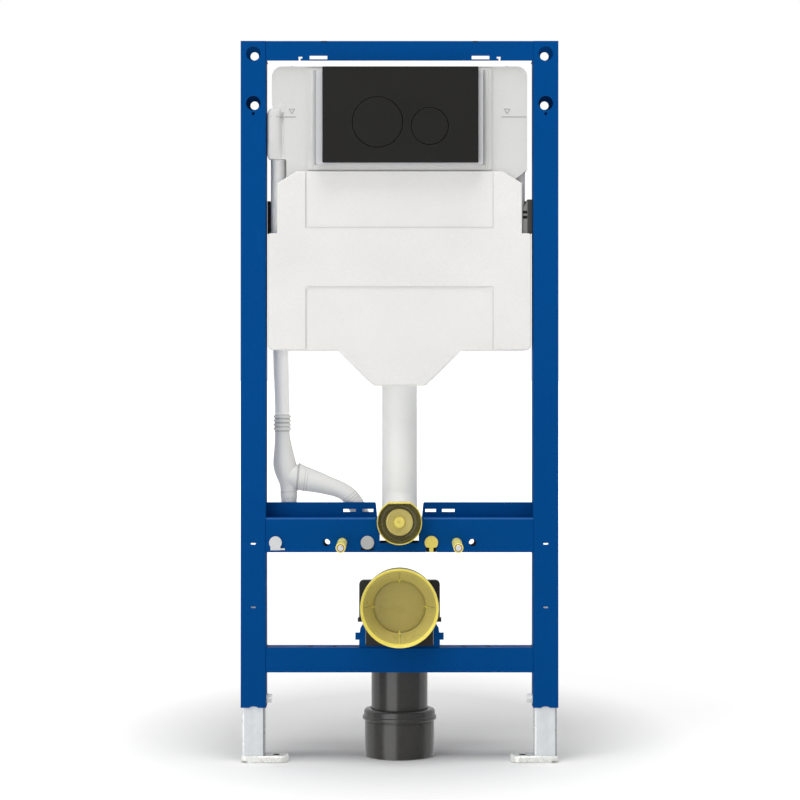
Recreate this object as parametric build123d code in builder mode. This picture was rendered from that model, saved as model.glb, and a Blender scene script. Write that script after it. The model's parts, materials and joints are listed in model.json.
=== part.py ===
from build123d import *
import os

os.makedirs("parts", exist_ok=True)

# Pre-wall mounting frame with a concealed flushing cistern for a wall-hung pan.
# Millimetres. X runs to the right seen from the front, Y runs back towards the
# wall, Z is up. The origin is on the back face of the top rail, in its middle.
# Heights in the names below (h_...) are measured from the underside of the feet
# and are turned into the part's own height by up().

# ------------------------------------------------------------------ dimensions
frame_w = 500.0          # over the posts
profile = 40.0           # side of the square post section
post_wall = 2.0
h_post_bottom = 87.0
h_post_top = 1136.0
h_origin = 1128.0        # height of the origin above the feet

h_top_rail = 1105.0      # underside of the top rail
rail_wall = 2.0
top_rail_lip = 16.0      # height of the top rail's back flange

h_mid_bottom = 331.7
h_mid_top = 385.5
h_mid_flange = 408.4
mid_wall = 2.5

h_low_bottom = 142.5
h_low_top = 181.5

h_bolt_high = 1116.3
bolt_pitch_z = 78.2
bolt_hole_r = 6.7
access_hole_r = 11.5
post_x = frame_w / 2 - profile / 2

stud_x = 90.0
wide_x = 115.0
h_stud = 346.8
stud_r = 6.0

leg_side = 35.0
leg_wall = 2.5
h_leg_top = 330.0
foot_w = 74.2
foot_t = 4.0

h_flush_axis = 380.3
flush_pipe_r = 28.0
flush_pipe_y = 25.0

h_waste_axis = 247.0
waste_r = 45.0
waste_y = 40.0
socket_r = 55.0

cover_front = -42.0
cover_back = 82.0
cover_t = 9.0
tank_front = -32.5
tank_back = 72.5
tank_wall = 3.0

plate_cx = 1.4
plate_w = 244.0
plate_h = 150.0
h_plate_mid = 1018.0
plate_front = -65.0
plate_t = 9.0
big_button = (-34.5, 1006.0, 39.0)
small_button = (47.4, 999.7, 28.5)
button_gap = 0.9
button_t = 7.0

conduit_y = 16.5
upper_y = -8.0           # the conduit lies further forward beside the tank


def up(h):
    return h - h_origin


front = -profile
xl = frame_w / 2 - profile


# ------------------------------------------------------------------ posts
def make_post(side):
    # square tube, open at both ends, with the wall-bolt holes through its back
    # wall and wider access holes in front of them
    cx = side * post_x
    with BuildPart() as post:
        with BuildSketch(Plane.XY.offset(up(h_post_bottom))):
            with Locations((cx, front / 2)):
                RectangleRounded(profile, profile, 1.8)
                RectangleRounded(profile - 2 * post_wall, profile - 2 * post_wall, 0.8, mode=Mode.SUBTRACT)
        extrude(amount=h_post_top - h_post_bottom)
        # access holes in the front wall
        with BuildSketch(Plane.XZ.offset(-front - 5)):
            for h in (h_bolt_high, h_bolt_high - bolt_pitch_z):
                with Locations((cx, up(h))):
                    Circle(access_hole_r)
            with Locations((cx, up(345.0)), (cx, up(245.0))):
                SlotOverall(8.0, 2.6)
            with Locations((cx, up(1021.5))):
                Circle(2.3)
            # shallow arched notch at the foot of the front wall
            with Locations((cx + side * -0.5, up(h_post_bottom))):
                Ellipse(6.5, 2.2)
        extrude(amount=10, mode=Mode.SUBTRACT)
        # bolt holes in the back wall
        with BuildSketch(Plane.XZ.offset(-5)):
            for h in (h_bolt_high, h_bolt_high - bolt_pitch_z):
                with Locations((cx, up(h))):
                    Circle(bolt_hole_r)
            with Locations((side * 232.4, up(342.1)), (side * 232.4, up(241.1))):
                SlotOverall(9.4, 4.4)
        extrude(amount=10, mode=Mode.SUBTRACT)
        # threaded hole for the clamping screw, in the inner side wall
        with BuildSketch(Plane.YZ.offset(side * xl - 5)):
            with Locations((front / 2, up(99.5))):
                Circle(4.1)
        extrude(amount=10, mode=Mode.SUBTRACT)
    return post


left_post = make_post(-1)
left_post.part.label = "left_post"
export_step(left_post.part, "parts/left_post.step")
right_post = make_post(1)
right_post.part.label = "right_post"
export_step(right_post.part, "parts/right_post.step")

# ------------------------------------------------------------------ top rail
with BuildPart() as top_rail:
    # channel, open at the bottom: tall front web, top web, short back flange
    with BuildSketch(Plane.YZ.offset(-xl)):
        with BuildLine():
            Polyline(
                (front, up(h_top_rail)), (front, up(h_post_top)), (0, up(h_post_top)),
                (0, up(h_post_top - top_rail_lip)), (-rail_wall, up(h_post_top - top_rail_lip)),
                (-rail_wall, up(h_post_top - rail_wall)), (front + rail_wall, up(h_post_top - rail_wall)),
                (front + rail_wall, up(h_top_rail)), close=True)
        make_face()
    extrude(amount=2 * xl)
    outer = top_rail.edges().filter_by(Axis.X).group_by(Axis.Z)[-1].sort_by(Axis.Y)
    fillet([outer[0], outer[-1]], 1.6)
    # long slots and the small hooked notches in the front web
    with BuildSketch(Plane.XZ.offset(-front - 5)):
        with Locations((-127.5, up(1109.8)), (127.4, up(1109.8))):
            RectangleRounded(28.0, 5.7, 0.8)
        for sx in (-1, 1):
            with Locations((sx * 155.9, up(1109.6))):
                Rectangle(6.2, 3.0)
            with Locations((sx * 157.2, up(1106.4))):
                Rectangle(3.0, 5.0)
    extrude(amount=10, mode=Mode.SUBTRACT)
    # notches in the folded top edge
    with BuildSketch(Plane.XZ.offset(-front - 5)):
        with Locations((-119.0, up(1136.0)), (119.0, up(1136.0))):
            RectangleRounded(9.6, 4.0, 0.9)
    extrude(amount=12, mode=Mode.SUBTRACT)
top_rail.part.label = "top_rail"
export_step(top_rail.part, "parts/top_rail.step")

# ------------------------------------------------------------------ middle rail
with BuildPart() as middle_rail:
    # front web, top web and a taller back web that stands up past the top web
    with BuildSketch(Plane.YZ.offset(-xl)):
        with BuildLine():
            Polyline(
                (front, up(h_mid_bottom)), (front, up(h_mid_top)), (-mid_wall, up(h_mid_top)),
                (-mid_wall, up(h_mid_flange)), (0, up(h_mid_flange)), (0, up(h_mid_bottom)),
                (-mid_wall, up(h_mid_bottom)), (-mid_wall, up(h_mid_top - mid_wall)),
                (front + mid_wall, up(h_mid_top - mid_wall)), (front + mid_wall, up(h_mid_bottom)), close=True)
        make_face()
    extrude(amount=2 * xl)
    fold = middle_rail.edges().filter_by(Axis.X).filter_by(
        lambda e: abs(e.center().Y - front) < 0.01 and e.center().Z > up(h_mid_top - 1))
    fillet(fold, 2.3)
    # gap in the back web for the flush bend, a little wider at the top
    with BuildSketch(Plane.XZ.offset(-5)) as gap_sk:
        with BuildLine():
            Polyline((-31.3, up(347.5)), (-31.3, up(h_mid_top - 6)), (-35.0, up(h_mid_top - 4)),
                     (-37.4, up(h_mid_flange - 2.2)), (-39.6, up(h_mid_flange + 2)), (39.8, up(h_mid_flange + 2)),
                     (37.6, up(h_mid_flange - 2.2)), (35.2, up(h_mid_top - 4)), (31.3, up(h_mid_top - 6)),
                     (31.3, up(347.5)), close=True)
        make_face()
    extrude(amount=6 + mid_wall, mode=Mode.SUBTRACT)
    # cut-out in the top web and the front web
    with BuildSketch(Plane.XZ.offset(-mid_wall - 0.2)):
        with BuildLine():
            Polyline((-31.3, up(346.2)), (-31.3, up(h_mid_top + 2)), (30.2, up(h_mid_top + 2)),
                     (30.2, up(346.2)), close=True)
        make_face()
    extrude(amount=50, mode=Mode.SUBTRACT)
    # slots in the flange
    with BuildSketch(Plane.XZ.offset(-5)):
        for x0, x1 in ((-89.2, -69.0), (-58.8, -41.6), (40.8, 58.0), (67.4, 87.6)):
            with Locations(((x0 + x1) / 2, up(395.3))):
                RectangleRounded(x1 - x0, 4.7, 0.6)
    extrude(amount=8, mode=Mode.SUBTRACT)
    # holes through both webs: pan studs, wide pan spacing, the two conduit ends
    with BuildSketch(Plane.XZ.offset(-front - 5)):
        with Locations((-stud_x, up(h_stud)), (stud_x, up(h_stud))):
            Circle(stud_r + 0.3)
        with Locations((-wide_x, up(h_stud)), (wide_x, up(h_stud))):
            Circle(5.75)
        with Locations((-195.0, up(347.0)), (-50.4, up(347.0))):
            Circle(8.0)
    extrude(amount=-60, both=True, mode=Mode.SUBTRACT)
    # front web only: the spare plug's hole and the notches under the two inner caps
    with BuildSketch(Plane.XZ.offset(-front - 5)):
        with Locations((50.0, up(347.0))):
            Circle(8.0)
        with Locations((49.6, up(335.0))):
            Rectangle(16.4, 9.2)
        with Locations((-51.0, up(336.4))):
            Rectangle(16.0, 2.6)
    extrude(amount=10, mode=Mode.SUBTRACT)
middle_rail.part.label = "middle_rail"
export_step(middle_rail.part, "parts/middle_rail.step")

# ------------------------------------------------------------------ lower rail
with BuildPart() as lower_rail:
    # channel open at the back, its flanges scalloped round the waste pipe
    with BuildSketch(Plane.YZ.offset(-xl)):
        with BuildLine():
            Polyline(
                (front, up(h_low_bottom)), (front, up(h_low_top)), (0, up(h_low_top)),
                (0, up(h_low_top - rail_wall)), (front + rail_wall, up(h_low_top - rail_wall)),
                (front + rail_wall, up(h_low_bottom + rail_wall)), (0, up(h_low_bottom + rail_wall)),
                (0, up(h_low_bottom)), close=True)
        make_face()
    extrude(amount=2 * xl)
    folds = lower_rail.edges().filter_by(Axis.X).filter_by(lambda e: abs(e.center().Y - front) < 0.01)
    fillet(folds, 1.6)
    with BuildSketch(Plane.XY.offset(up(h_low_bottom - 5))):
        with Locations((0, waste_y)):
            Circle(waste_r + 4)
    extrude(amount=h_low_top - h_low_bottom + 10, mode=Mode.SUBTRACT)
    # small holes in the top flange
    with BuildSketch(Plane.XY.offset(up(h_low_top - 5))):
        with Locations((-140.0, -9.0), (-102.0, -9.0), (102.0, -9.0), (140.0, -9.0)):
            SlotOverall(9.0, 4.5)
    extrude(amount=10, mode=Mode.SUBTRACT)
lower_rail.part.label = "lower_rail"
export_step(lower_rail.part, "parts/lower_rail.step")


# ------------------------------------------------------------------ legs and feet
def make_leg(side):
    # galvanised square tube that telescopes into the post
    cx = side * (post_x + 0.5 * 0)
    with BuildPart() as leg:
        with BuildSketch(Plane.XY.offset(up(foot_t + 6.7))):
            with Locations((cx, front / 2)):
                RectangleRounded(leg_side, leg_side, 3.0)
                RectangleRounded(leg_side - 2 * leg_wall, leg_side - 2 * leg_wall, 1.0, mode=Mode.SUBTRACT)
        extrude(amount=h_leg_top - foot_t - 6.7)
    return leg


left_leg = make_leg(-1)
left_leg.part.label = "left_leg"
export_step(left_leg.part, "parts/left_leg.step")
right_leg = make_leg(1)
right_leg.part.label = "right_leg"
export_step(right_leg.part, "parts/right_leg.step")


def make_foot(side):
    # pressed plate: flat top, lips turned down at the front and back, round inner
    # end, and a hole for the floor anchor
    outer = side * (frame_w / 2 - 0.4)
    inner = side * (frame_w / 2 - foot_w - 0.4)
    mid = (outer + inner) / 2
    with BuildPart() as foot:
        with BuildSketch(Plane.XY):
            with Locations((mid, front / 2)):
                RectangleRounded(foot_w, profile, 7.0)
        extrude(amount=10.7)
        # hollow under the plate
        with BuildSketch(Plane.XY):
            with Locations((mid, front / 2)):
                RectangleRounded(foot_w - 8, profile - 6.0, 4.5)
        extrude(amount=10.7 - foot_t, mode=Mode.SUBTRACT)
        # anchor hole
        with BuildSketch(Plane.XY):
            with Locations((side * 194.5, front / 2)):
                Circle(5.5)
        extrude(amount=20, mode=Mode.SUBTRACT)
        # the lip rises towards its outer end
        with BuildSketch(Plane.XZ.offset(-5)):
            with BuildLine():
                Polyline((outer + side * 1, -1), (outer - side * 22, -1), (outer - side * 14, 1.9),
                         (outer - side * 1.5, 3.3), (outer + side * 1, 4.4), close=True)
            make_face()
        extrude(amount=50, mode=Mode.SUBTRACT)
        # pressed boss under the leg that stands on the floor
        with BuildSketch(Plane.XY):
            with Locations((outer - side * 16.0, front / 2)):
                RectangleRounded(13.0, profile - 1.0, 3.0)
        extrude(amount=10.7 - foot_t + 0.5)
    # moved from the floor plane to its height in the part
    foot.part = foot.part.moved(Location((0, 0, up(0))))
    return foot


left_foot = make_foot(-1)
left_foot.part.label = "left_foot"
export_step(left_foot.part, "parts/left_foot.step")
right_foot = make_foot(1)
right_foot.part.label = "right_foot"
export_step(right_foot.part, "parts/right_foot.step")


def make_leg_screw(side):
    # hexagon-headed screw in the post's inner wall that clamps the leg
    with BuildPart() as screw:
        with BuildSketch(Plane.YZ.offset(side * xl)):
            with Locations((front / 2, up(99.5))):
                Circle(8.0)
        extrude(amount=-side * 1.6)
        with BuildSketch(Plane.YZ.offset(side * (xl - 1.6))):
            with Locations((front / 2, up(99.5))):
                RegularPolygon(7.5, 6)
        extrude(amount=-side * 7.0)
        with BuildSketch(Plane.YZ.offset(side * (xl - 2))):
            with Locations((front / 2, up(99.5))):
                Circle(4.0)
        extrude(amount=side * 4.2)
    return screw


left_leg_screw = make_leg_screw(-1)
left_leg_screw.part.label = "left_leg_screw"
export_step(left_leg_screw.part, "parts/left_leg_screw.step")
right_leg_screw = make_leg_screw(1)
right_leg_screw.part.label = "right_leg_screw"
export_step(right_leg_screw.part, "parts/right_leg_screw.step")

# ------------------------------------------------------------------ cistern
cover_outline = [
    (-162.0, 931.0), (162.0, 931.0), (193.0, 912.0), (193.0, 833.5), (207.0, 833.5), (207.0, 649.5),
    (97.0, 649.5), (41.0, 593.4), (-41.0, 593.4), (-97.0, 649.5), (-207.0, 649.5), (-207.0, 833.5),
    (-193.0, 833.5), (-193.0, 912.0)]
cavity_outline = [
    (-184.0, 940.0), (184.0, 940.0), (184.0, 658.5), (93.3, 658.5), (37.3, 602.4),
    (-37.3, 602.4), (-93.3, 658.5), (-184.0, 658.5)]
tank_outline = [
    (-201.0, 1096.5), (201.0, 1096.5), (201.0, 934.0), (183.5, 920.0), (183.5, 659.0), (93.1, 659.0),
    (37.0, 602.9), (-37.0, 602.9), (-93.1, 659.0), (-183.5, 659.0), (-183.5, 920.0), (-201.0, 934.0)]
tank_inner = [
    (-198.0, 1093.5), (198.0, 1093.5), (198.0, 935.5), (180.5, 921.5), (180.5, 662.0), (91.9, 662.0),
    (35.8, 605.9), (-35.8, 605.9), (-91.9, 662.0), (-180.5, 662.0), (-180.5, 921.5), (-198.0, 935.5)]

with BuildPart() as cistern_tank:
    # moulded vessel, wide and shallow, narrower inside its insulation and
    # tapering to the flush outlet
    with BuildSketch(Plane.XZ.offset(-tank_back)) as tank_sk:
        with BuildLine():
            Polyline(*[(x, up(h)) for x, h in tank_outline], close=True)
        make_face()
        top_corners = tank_sk.vertices().group_by(Axis.Y)[-1]
        fillet(top_corners, 16)
    extrude(amount=tank_back - tank_front)
    # raised surround of the service opening
    with BuildSketch(Plane.XZ.offset(-tank_front)):
        with Locations((0, up(1013.5))):
            RectangleRounded(290.0, 160.0, 4.0)
    extrude(amount=3.5)
    # recess down the left front corner where the conduit runs, narrower round
    # the conduit's closed head
    with BuildSketch(Plane.XY.offset(up(560))):
        with Locations((-192.5, -4.5)):
            Rectangle(33.0, 72.0)
    extrude(amount=391, mode=Mode.SUBTRACT)
    with BuildSketch(Plane.XY.offset(up(950))):
        with Locations((-195.4, -14.0)):
            Rectangle(27.2, 53.0)
    extrude(amount=87.5, mode=Mode.SUBTRACT)
    # the hollow inside
    with BuildSketch(Plane.XZ.offset(-tank_back + tank_wall)) as hollow_sk:
        with BuildLine():
            Polyline(*[(x, up(h)) for x, h in tank_inner], close=True)
        make_face()
        inner_corners = hollow_sk.vertices().group_by(Axis.Y)[-1]
        fillet(inner_corners, 13)
        with Locations((-191.0, up(795.0))):
            Rectangle(36.0, 496.0, mode=Mode.SUBTRACT)
    extrude(amount=tank_back - tank_front - 2 * tank_wall, mode=Mode.SUBTRACT)
    # service opening
    with BuildSketch(Plane.XZ.offset(-tank_front - 6)):
        with Locations((0, up(1016.0))):
            RectangleRounded(190.0, 110.0, 6.0)
    extrude(amount=20, mode=Mode.SUBTRACT)
    # flush outlet
    with BuildSketch(Plane.XY.offset(up(598))):
        with Locations((0, flush_pipe_y)):
            Circle(25.0)
    extrude(amount=12, mode=Mode.SUBTRACT)
cistern_tank.part.label = "cistern_tank"
export_step(cistern_tank.part, "parts/cistern_tank.step")

with BuildPart() as insulation_cover:
    # moulded foam shell round the lower part of the cistern, open at the top
    with BuildSketch(Plane.XZ.offset(-cover_back)) as cover_sk:
        with BuildLine():
            Polyline(*[(x, up(h)) for x, h in cover_outline], close=True)
        make_face()
        low_corners = cover_sk.vertices().filter_by(
            lambda v: abs(abs(v.X) - 207) < 0.1 and abs(v.Y - up(649.5)) < 0.1)
        fillet(low_corners, 9)
        step_corners = cover_sk.vertices().filter_by(
            lambda v: abs(abs(v.X) - 207) < 0.1 and abs(v.Y - up(833.5)) < 0.1)
        fillet(step_corners, 5)
        tip_corners = cover_sk.vertices().filter_by(
            lambda v: abs(v.Y - up(593.4)) < 0.1)
        fillet(tip_corners, 6)
    extrude(amount=cover_back - cover_front)
    front_edges = insulation_cover.faces().sort_by(Axis.Y)[0].edges()
    fillet(front_edges, 3.0)
    # cavity for the tank
    with BuildSketch(Plane.XZ.offset(-cover_back + cover_t)):
        with BuildLine():
            Polyline(*[(x, up(h)) for x, h in cavity_outline], close=True)
        make_face()
    extrude(amount=cover_back - cover_front - 2 * cover_t, mode=Mode.SUBTRACT)
    # channel down the left side for the conduit
    with BuildSketch(Plane.XY.offset(up(590))):
        with Locations((-196.0, -1.0)):
            Rectangle(40.0, 64.0)
    extrude(amount=400, mode=Mode.SUBTRACT)
    # notches for the clips that hold the tank to the posts
    with BuildSketch(Plane.XY.offset(up(834.5))):
        with Locations((193.0, 16.0)):
            Rectangle(30.0, 26.4)
        with Locations((-193.0, 43.0)):
            Rectangle(30.0, 26.4)
    extrude(amount=53.0, mode=Mode.SUBTRACT)
    # hole for the flush pipe
    with BuildSketch(Plane.XY.offset(up(585))):
        with Locations((0, flush_pipe_y)):
            Circle(flush_pipe_r + 0.4)
    extrude(amount=30, mode=Mode.SUBTRACT)
    # shallow panels in the front face
    with BuildSketch(Plane.XZ.offset(-cover_front)):
        with BuildLine():
            Polyline((-148.0, up(934)), (-148.0, up(842.0)), (147.5, up(842.0)), (147.5, up(934)), close=True)
        make_face()
    extrude(amount=-1.3, mode=Mode.SUBTRACT)
    with BuildSketch(Plane.XZ.offset(-cover_front)):
        with BuildLine():
            Polyline((-148.0, up(640)), (-148.0, up(744.0)), (-141.0, up(750.0)), (141.0, up(750.0)),
                     (147.5, up(744.0)), (147.5, up(640)), close=True)
        make_face()
    extrude(amount=-1.3, mode=Mode.SUBTRACT)
insulation_cover.part.label = "insulation_cover"
export_step(insulation_cover.part, "parts/insulation_cover.step")

# ------------------------------------------------------------------ flush plate
with BuildPart() as plate_frame:
    # light surround between the tank's service opening and the flush plate
    with BuildSketch(Plane.XZ.offset(-tank_front + 3.5)):
        with Locations((0, up(1015.5))):
            RectangleRounded(262.0, 149.4, 3.0)
            RectangleRounded(212.0, 122.0, 3.0, mode=Mode.SUBTRACT)
    extrude(amount=(-plate_front - plate_t) - (-tank_front + 3.5))
plate_frame.part.label = "plate_frame"
export_step(plate_frame.part, "parts/plate_frame.step")

with BuildPart() as flush_plate:
    with BuildSketch(Plane.XZ.offset(-plate_front - plate_t)):
        with Locations((plate_cx, up(h_plate_mid))):
            RectangleRounded(plate_w, plate_h, 1.2)
    extrude(amount=plate_t)
    chamfer(flush_plate.faces().sort_by(Axis.Y)[0].edges(), 0.6)
    with BuildSketch(Plane.XZ.offset(-plate_front - plate_t - 1)):
        for bx, bh, br in (big_button, small_button):
            with Locations((bx, up(bh))):
                Circle(br + button_gap)
    extrude(amount=plate_t + 2, mode=Mode.SUBTRACT)
flush_plate.part.label = "flush_plate"
export_step(flush_plate.part, "parts/flush_plate.step")


def make_button(spec):
    bx, bh, br = spec
    with BuildPart() as button:
        with BuildSketch(Plane.XZ.offset(-plate_front - button_t)):
            with Locations((bx, up(bh))):
                Circle(br)
        extrude(amount=button_t)
        fillet(button.faces().sort_by(Axis.Y)[0].edges(), 0.5)
    return button


full_flush_button = make_button(big_button)
full_flush_button.part.label = "full_flush_button"
export_step(full_flush_button.part, "parts/full_flush_button.step")
half_flush_button = make_button(small_button)
half_flush_button.part.label = "half_flush_button"
export_step(half_flush_button.part, "parts/half_flush_button.step")

# ------------------------------------------------------------------ tank clips
with BuildPart() as left_tank_clip:
    with BuildSketch(Plane.XY.offset(up(835.0))):
        with Locations((-196.8, 43.0)):
            Rectangle(26.0, 26.0)
    extrude(amount=51.5)
    with BuildSketch(Plane.XY.offset(up(835.0))):
        with Locations((-207.5, 15.0)):
            Rectangle(4.6, 31.0)
    extrude(amount=51.5)
left_tank_clip.part.label = "left_tank_clip"
export_step(left_tank_clip.part, "parts/left_tank_clip.step")

with BuildPart() as right_tank_clip:
    with BuildSketch(Plane.XY.offset(up(835.0))):
        with Locations((196.8, 16.0)):
            Rectangle(26.0, 26.0)
    extrude(amount=51.5)
    with BuildSketch(Plane.XY.offset(up(835.0))):
        with Locations((207.5, 1.5)):
            Rectangle(4.6, 4.0)
    extrude(amount=51.5)
right_tank_clip.part.label = "right_tank_clip"
export_step(right_tank_clip.part, "parts/right_tank_clip.step")

# ------------------------------------------------------------------ flush pipe
with BuildPart() as flush_pipe:
    # straight fall pipe from the tank to the flush bend
    with BuildSketch(Plane.XY.offset(up(450.0))):
        with Locations((0, flush_pipe_y)):
            Circle(flush_pipe_r)
            Circle(flush_pipe_r - 3, mode=Mode.SUBTRACT)
    extrude(amount=602.9 - 450.0)
flush_pipe.part.label = "flush_pipe"
export_step(flush_pipe.part, "parts/flush_pipe.step")

with BuildPart() as flush_bend:
    # quarter bend that brings the flush water forward through the middle rail
    with BuildLine() as bend_path:
        FilletPolyline((0, flush_pipe_y, up(450.0)), (0, flush_pipe_y, up(h_flush_axis)),
                       (0, -56.0, up(h_flush_axis)), radius=46)
    with BuildSketch(Plane.XY.offset(up(450.0))):
        with Locations((0, flush_pipe_y)):
            Circle(flush_pipe_r)
            Circle(flush_pipe_r - 3, mode=Mode.SUBTRACT)
    sweep(path=bend_path.line)
flush_bend.part.label = "flush_bend"
export_step(flush_bend.part, "parts/flush_bend.step")

with BuildPart() as flush_cap:
    # protective cap over the flush bend's mouth, flat on top
    with BuildSketch(Plane.XZ.offset(-front + 1.0)):
        with Locations((0, up(h_flush_axis))):
            Circle(35.3)
    extrude(amount=29.0)
    with BuildSketch(Plane.XZ.offset(-front + 6.0)):
        with Locations((0, up(h_flush_axis))):
            Circle(33.2)
    extrude(amount=30.0, mode=Mode.SUBTRACT)
    with BuildSketch(Plane.XZ.offset(-front)):
        with Locations((0, up(h_flush_axis))):
            Circle(flush_pipe_r + 0.2)
    extrude(amount=16.2, mode=Mode.SUBTRACT)
    with BuildSketch(Plane.XZ.offset(-front - 2)):
        with Locations((0, up(h_flush_axis + 30.1 + 10))):
            Rectangle(90, 20)
    extrude(amount=40.0, mode=Mode.SUBTRACT)
    # flat roof
    with BuildSketch(Plane.XZ.offset(-front + 1.0)):
        with Locations((0, up(h_flush_axis))):
            Circle(35.3)
            with Locations((0, -11.6)):
                Rectangle(90, 80, mode=Mode.SUBTRACT)
            with Locations((0, 40.1)):
                Rectangle(90, 20, mode=Mode.SUBTRACT)
    extrude(amount=29.0)
    # inner cup and its button
    with BuildSketch(Plane.XZ.offset(-front + 16.2)):
        with Locations((0, up(h_flush_axis))):
            Circle(flush_pipe_r)
    extrude(amount=1.6)
    with BuildSketch(Plane.XZ.offset(-front + 17.0)):
        with Locations((0, up(h_flush_axis))):
            Circle(21.3)
    extrude(amount=5.0)
    with BuildSketch(Plane.XZ.offset(-front + 21.0)):
        with Locations((0, up(h_flush_axis))):
            Circle(8.8)
    extrude(amount=3.0)
flush_cap.part.label = "flush_cap"
export_step(flush_cap.part, "parts/flush_cap.step")

# ------------------------------------------------------------------ waste
with BuildPart() as waste_bend:
    # quarter bend with a wide socket facing forward
    with BuildLine() as waste_path:
        FilletPolyline((0, -10.5, up(h_waste_axis)), (0, waste_y, up(h_waste_axis)),
                       (0, waste_y, up(66.0)), radius=50)
    with BuildSketch(Plane.XZ.offset(10.5)):
        with Locations((0, up(h_waste_axis))):
            Circle(waste_r)
            Circle(waste_r - 3.5, mode=Mode.SUBTRACT)
    sweep(path=waste_path.line)
    with BuildSketch(Plane.YZ):
        with BuildLine():
            Polyline((-10.0, up(h_waste_axis + 41.5)), (-10.0, up(h_waste_axis + 45.0)),
                     (-20.0, up(h_waste_axis + socket_r)), (-69.0, up(h_waste_axis + socket_r)),
                     (-69.0, up(h_waste_axis + socket_r - 3)), (-22.0, up(h_waste_axis + socket_r - 3)),
                     (-22.0, up(h_waste_axis + 41.5)), close=True)
        make_face()
    revolve(axis=Axis((0, 0, up(h_waste_axis)), (0, 1, 0)))
waste_bend.part.label = "waste_bend"
export_step(waste_bend.part, "parts/waste_bend.step")

with BuildPart() as waste_plug:
    # conical protective plug with a wide rim and four ribs
    with BuildSketch(Plane.YZ):
        with BuildLine():
            Polyline((-85.0, up(h_waste_axis + 54.7)), (-85.0, up(h_waste_axis + 61.4)),
                     (-66.0, up(h_waste_axis + 61.4)), (-66.0, up(h_waste_axis + 59.2)),
                     (-82.6, up(h_waste_axis + 59.2)), (-82.6, up(h_waste_axis + 57.0)),
                     (-45.8, up(h_waste_axis + 42.4)), (-45.8, up(h_waste_axis)),
                     (-47.8, up(h_waste_axis)), (-47.8, up(h_waste_axis + 40.8)), close=True)
        make_face()
    revolve(axis=Axis((0, 0, up(h_waste_axis)), (0, 1, 0)))
    for ang in (0, 90, 180, 270):
        rib = Plane(origin=(0, -48.4, up(h_waste_axis)), x_dir=(0, -1, 0), z_dir=(1, 0, 0)).rotated((0, ang, 0))
        with BuildSketch(rib):
            with BuildLine():
                Polyline((0.0, 37.0), (2.4, 37.0), (14.0, 44.5), (30.0, 51.6), (30.0, 53.6), (0.0, 41.5), close=True)
            make_face()
        extrude(amount=0.9, both=True)
waste_plug.part.label = "waste_plug"
export_step(waste_plug.part, "parts/waste_plug.step")

with BuildPart() as waste_clamp:
    # holder that grips the bend's socket and hooks into the bracket
    with BuildSketch(Plane.XZ.offset(22.0)) as clamp_sk:
        with BuildLine():
            Polyline((-63.5, up(222.0)), (-63.5, up(287.5)), (63.5, up(287.5)), (63.5, up(222.0)),
                     (53.0, up(222.0)), (53.0, up(184.2)), (-53.0, up(184.2)), (-53.0, up(222.0)), close=True)
        make_face()
        fillet(clamp_sk.vertices().group_by(Axis.Y)[-1], 7)
        with Locations((0, up(h_waste_axis))):
            Circle(59.4)
        with Locations((-64.0, up(225.0)), (64.0, up(225.0))):
            Rectangle(3.4, 6.0)
        with Locations((0, up(h_waste_axis))):
            Circle(socket_r + 0.15, mode=Mode.SUBTRACT)
    extrude(amount=15.0)
waste_clamp.part.label = "waste_clamp"
export_step(waste_clamp.part, "parts/waste_clamp.step")

with BuildPart() as waste_bracket:
    # folded bracket on the lower rail, one ear each side of the holder
    with BuildSketch(Plane.XY.offset(up(h_low_top))):
        with Locations((0, -24.5)):
            Rectangle(126.0, 25.0)
        with Locations((0, waste_y)):
            Circle(waste_r + 4, mode=Mode.SUBTRACT)
    extrude(amount=2.5)
    for sx in (-1, 1):
        with BuildSketch(Plane.XY.offset(up(h_low_top))):
            with Locations((sx * 54.8, -24.5)):
                Rectangle(2.6, 25.0)
        extrude(amount=217.0 - h_low_top)
        with BuildSketch(Plane.XZ.offset(34.5)):
            with BuildLine():
                Polyline((sx * 53.5, up(h_low_top)), (sx * 63.5, up(h_low_top)), (sx * 63.5, up(193.9)),
                         (sx * 69.5, up(193.9)), (sx * 69.5, up(205.0)), (sx * 62.6, up(205.0)),
                         (sx * 61.4, up(213.0)), (sx * 58.0, up(218.0)), (sx * 53.5, up(218.0)), close=True)
            make_face()
        extrude(amount=2.5)
waste_bracket.part.label = "waste_bracket"
export_step(waste_bracket.part, "parts/waste_bracket.step")

with BuildPart() as waste_adaptor:
    # sleeve that widens the waste pipe to the drain's size
    with BuildSketch(Plane.XZ.offset(-waste_y)):
        with BuildLine():
            Polyline((45.15, up(66.0)), (45.15, up(76.5)), (49.6, up(76.3)), (52.4, up(74.0)), (54.2, up(69.5)),
                     (59.2, up(65.2)), (59.4, up(62.5)), (58.6, up(60.2)), (56.4, up(58.8)), (socket_r, up(57.6)),
                     (socket_r, up(0.0)), (socket_r - 3.2, up(0.0)), (socket_r - 3.2, up(54.0)),
                     (44.0, up(64.0)), (44.0, up(65.9)), (45.15, up(65.9)), close=True)
        make_face()
    revolve(axis=Axis((0, waste_y, 0), (0, 0, 1)))
waste_adaptor.part.label = "waste_adaptor"
export_step(waste_adaptor.part, "parts/waste_adaptor.step")


# ------------------------------------------------------------------ pan studs
def make_stud(side):
    cx = side * stud_x
    with BuildPart() as stud:
        with BuildSketch(Plane.XZ.offset(-18.0)):
            with Locations((cx, up(h_stud))):
                Circle(stud_r)
        extrude(amount=157.0 + 18.0)
        chamfer(stud.faces().sort_by(Axis.Y)[0].edges(), 1.0)
    return stud


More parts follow.
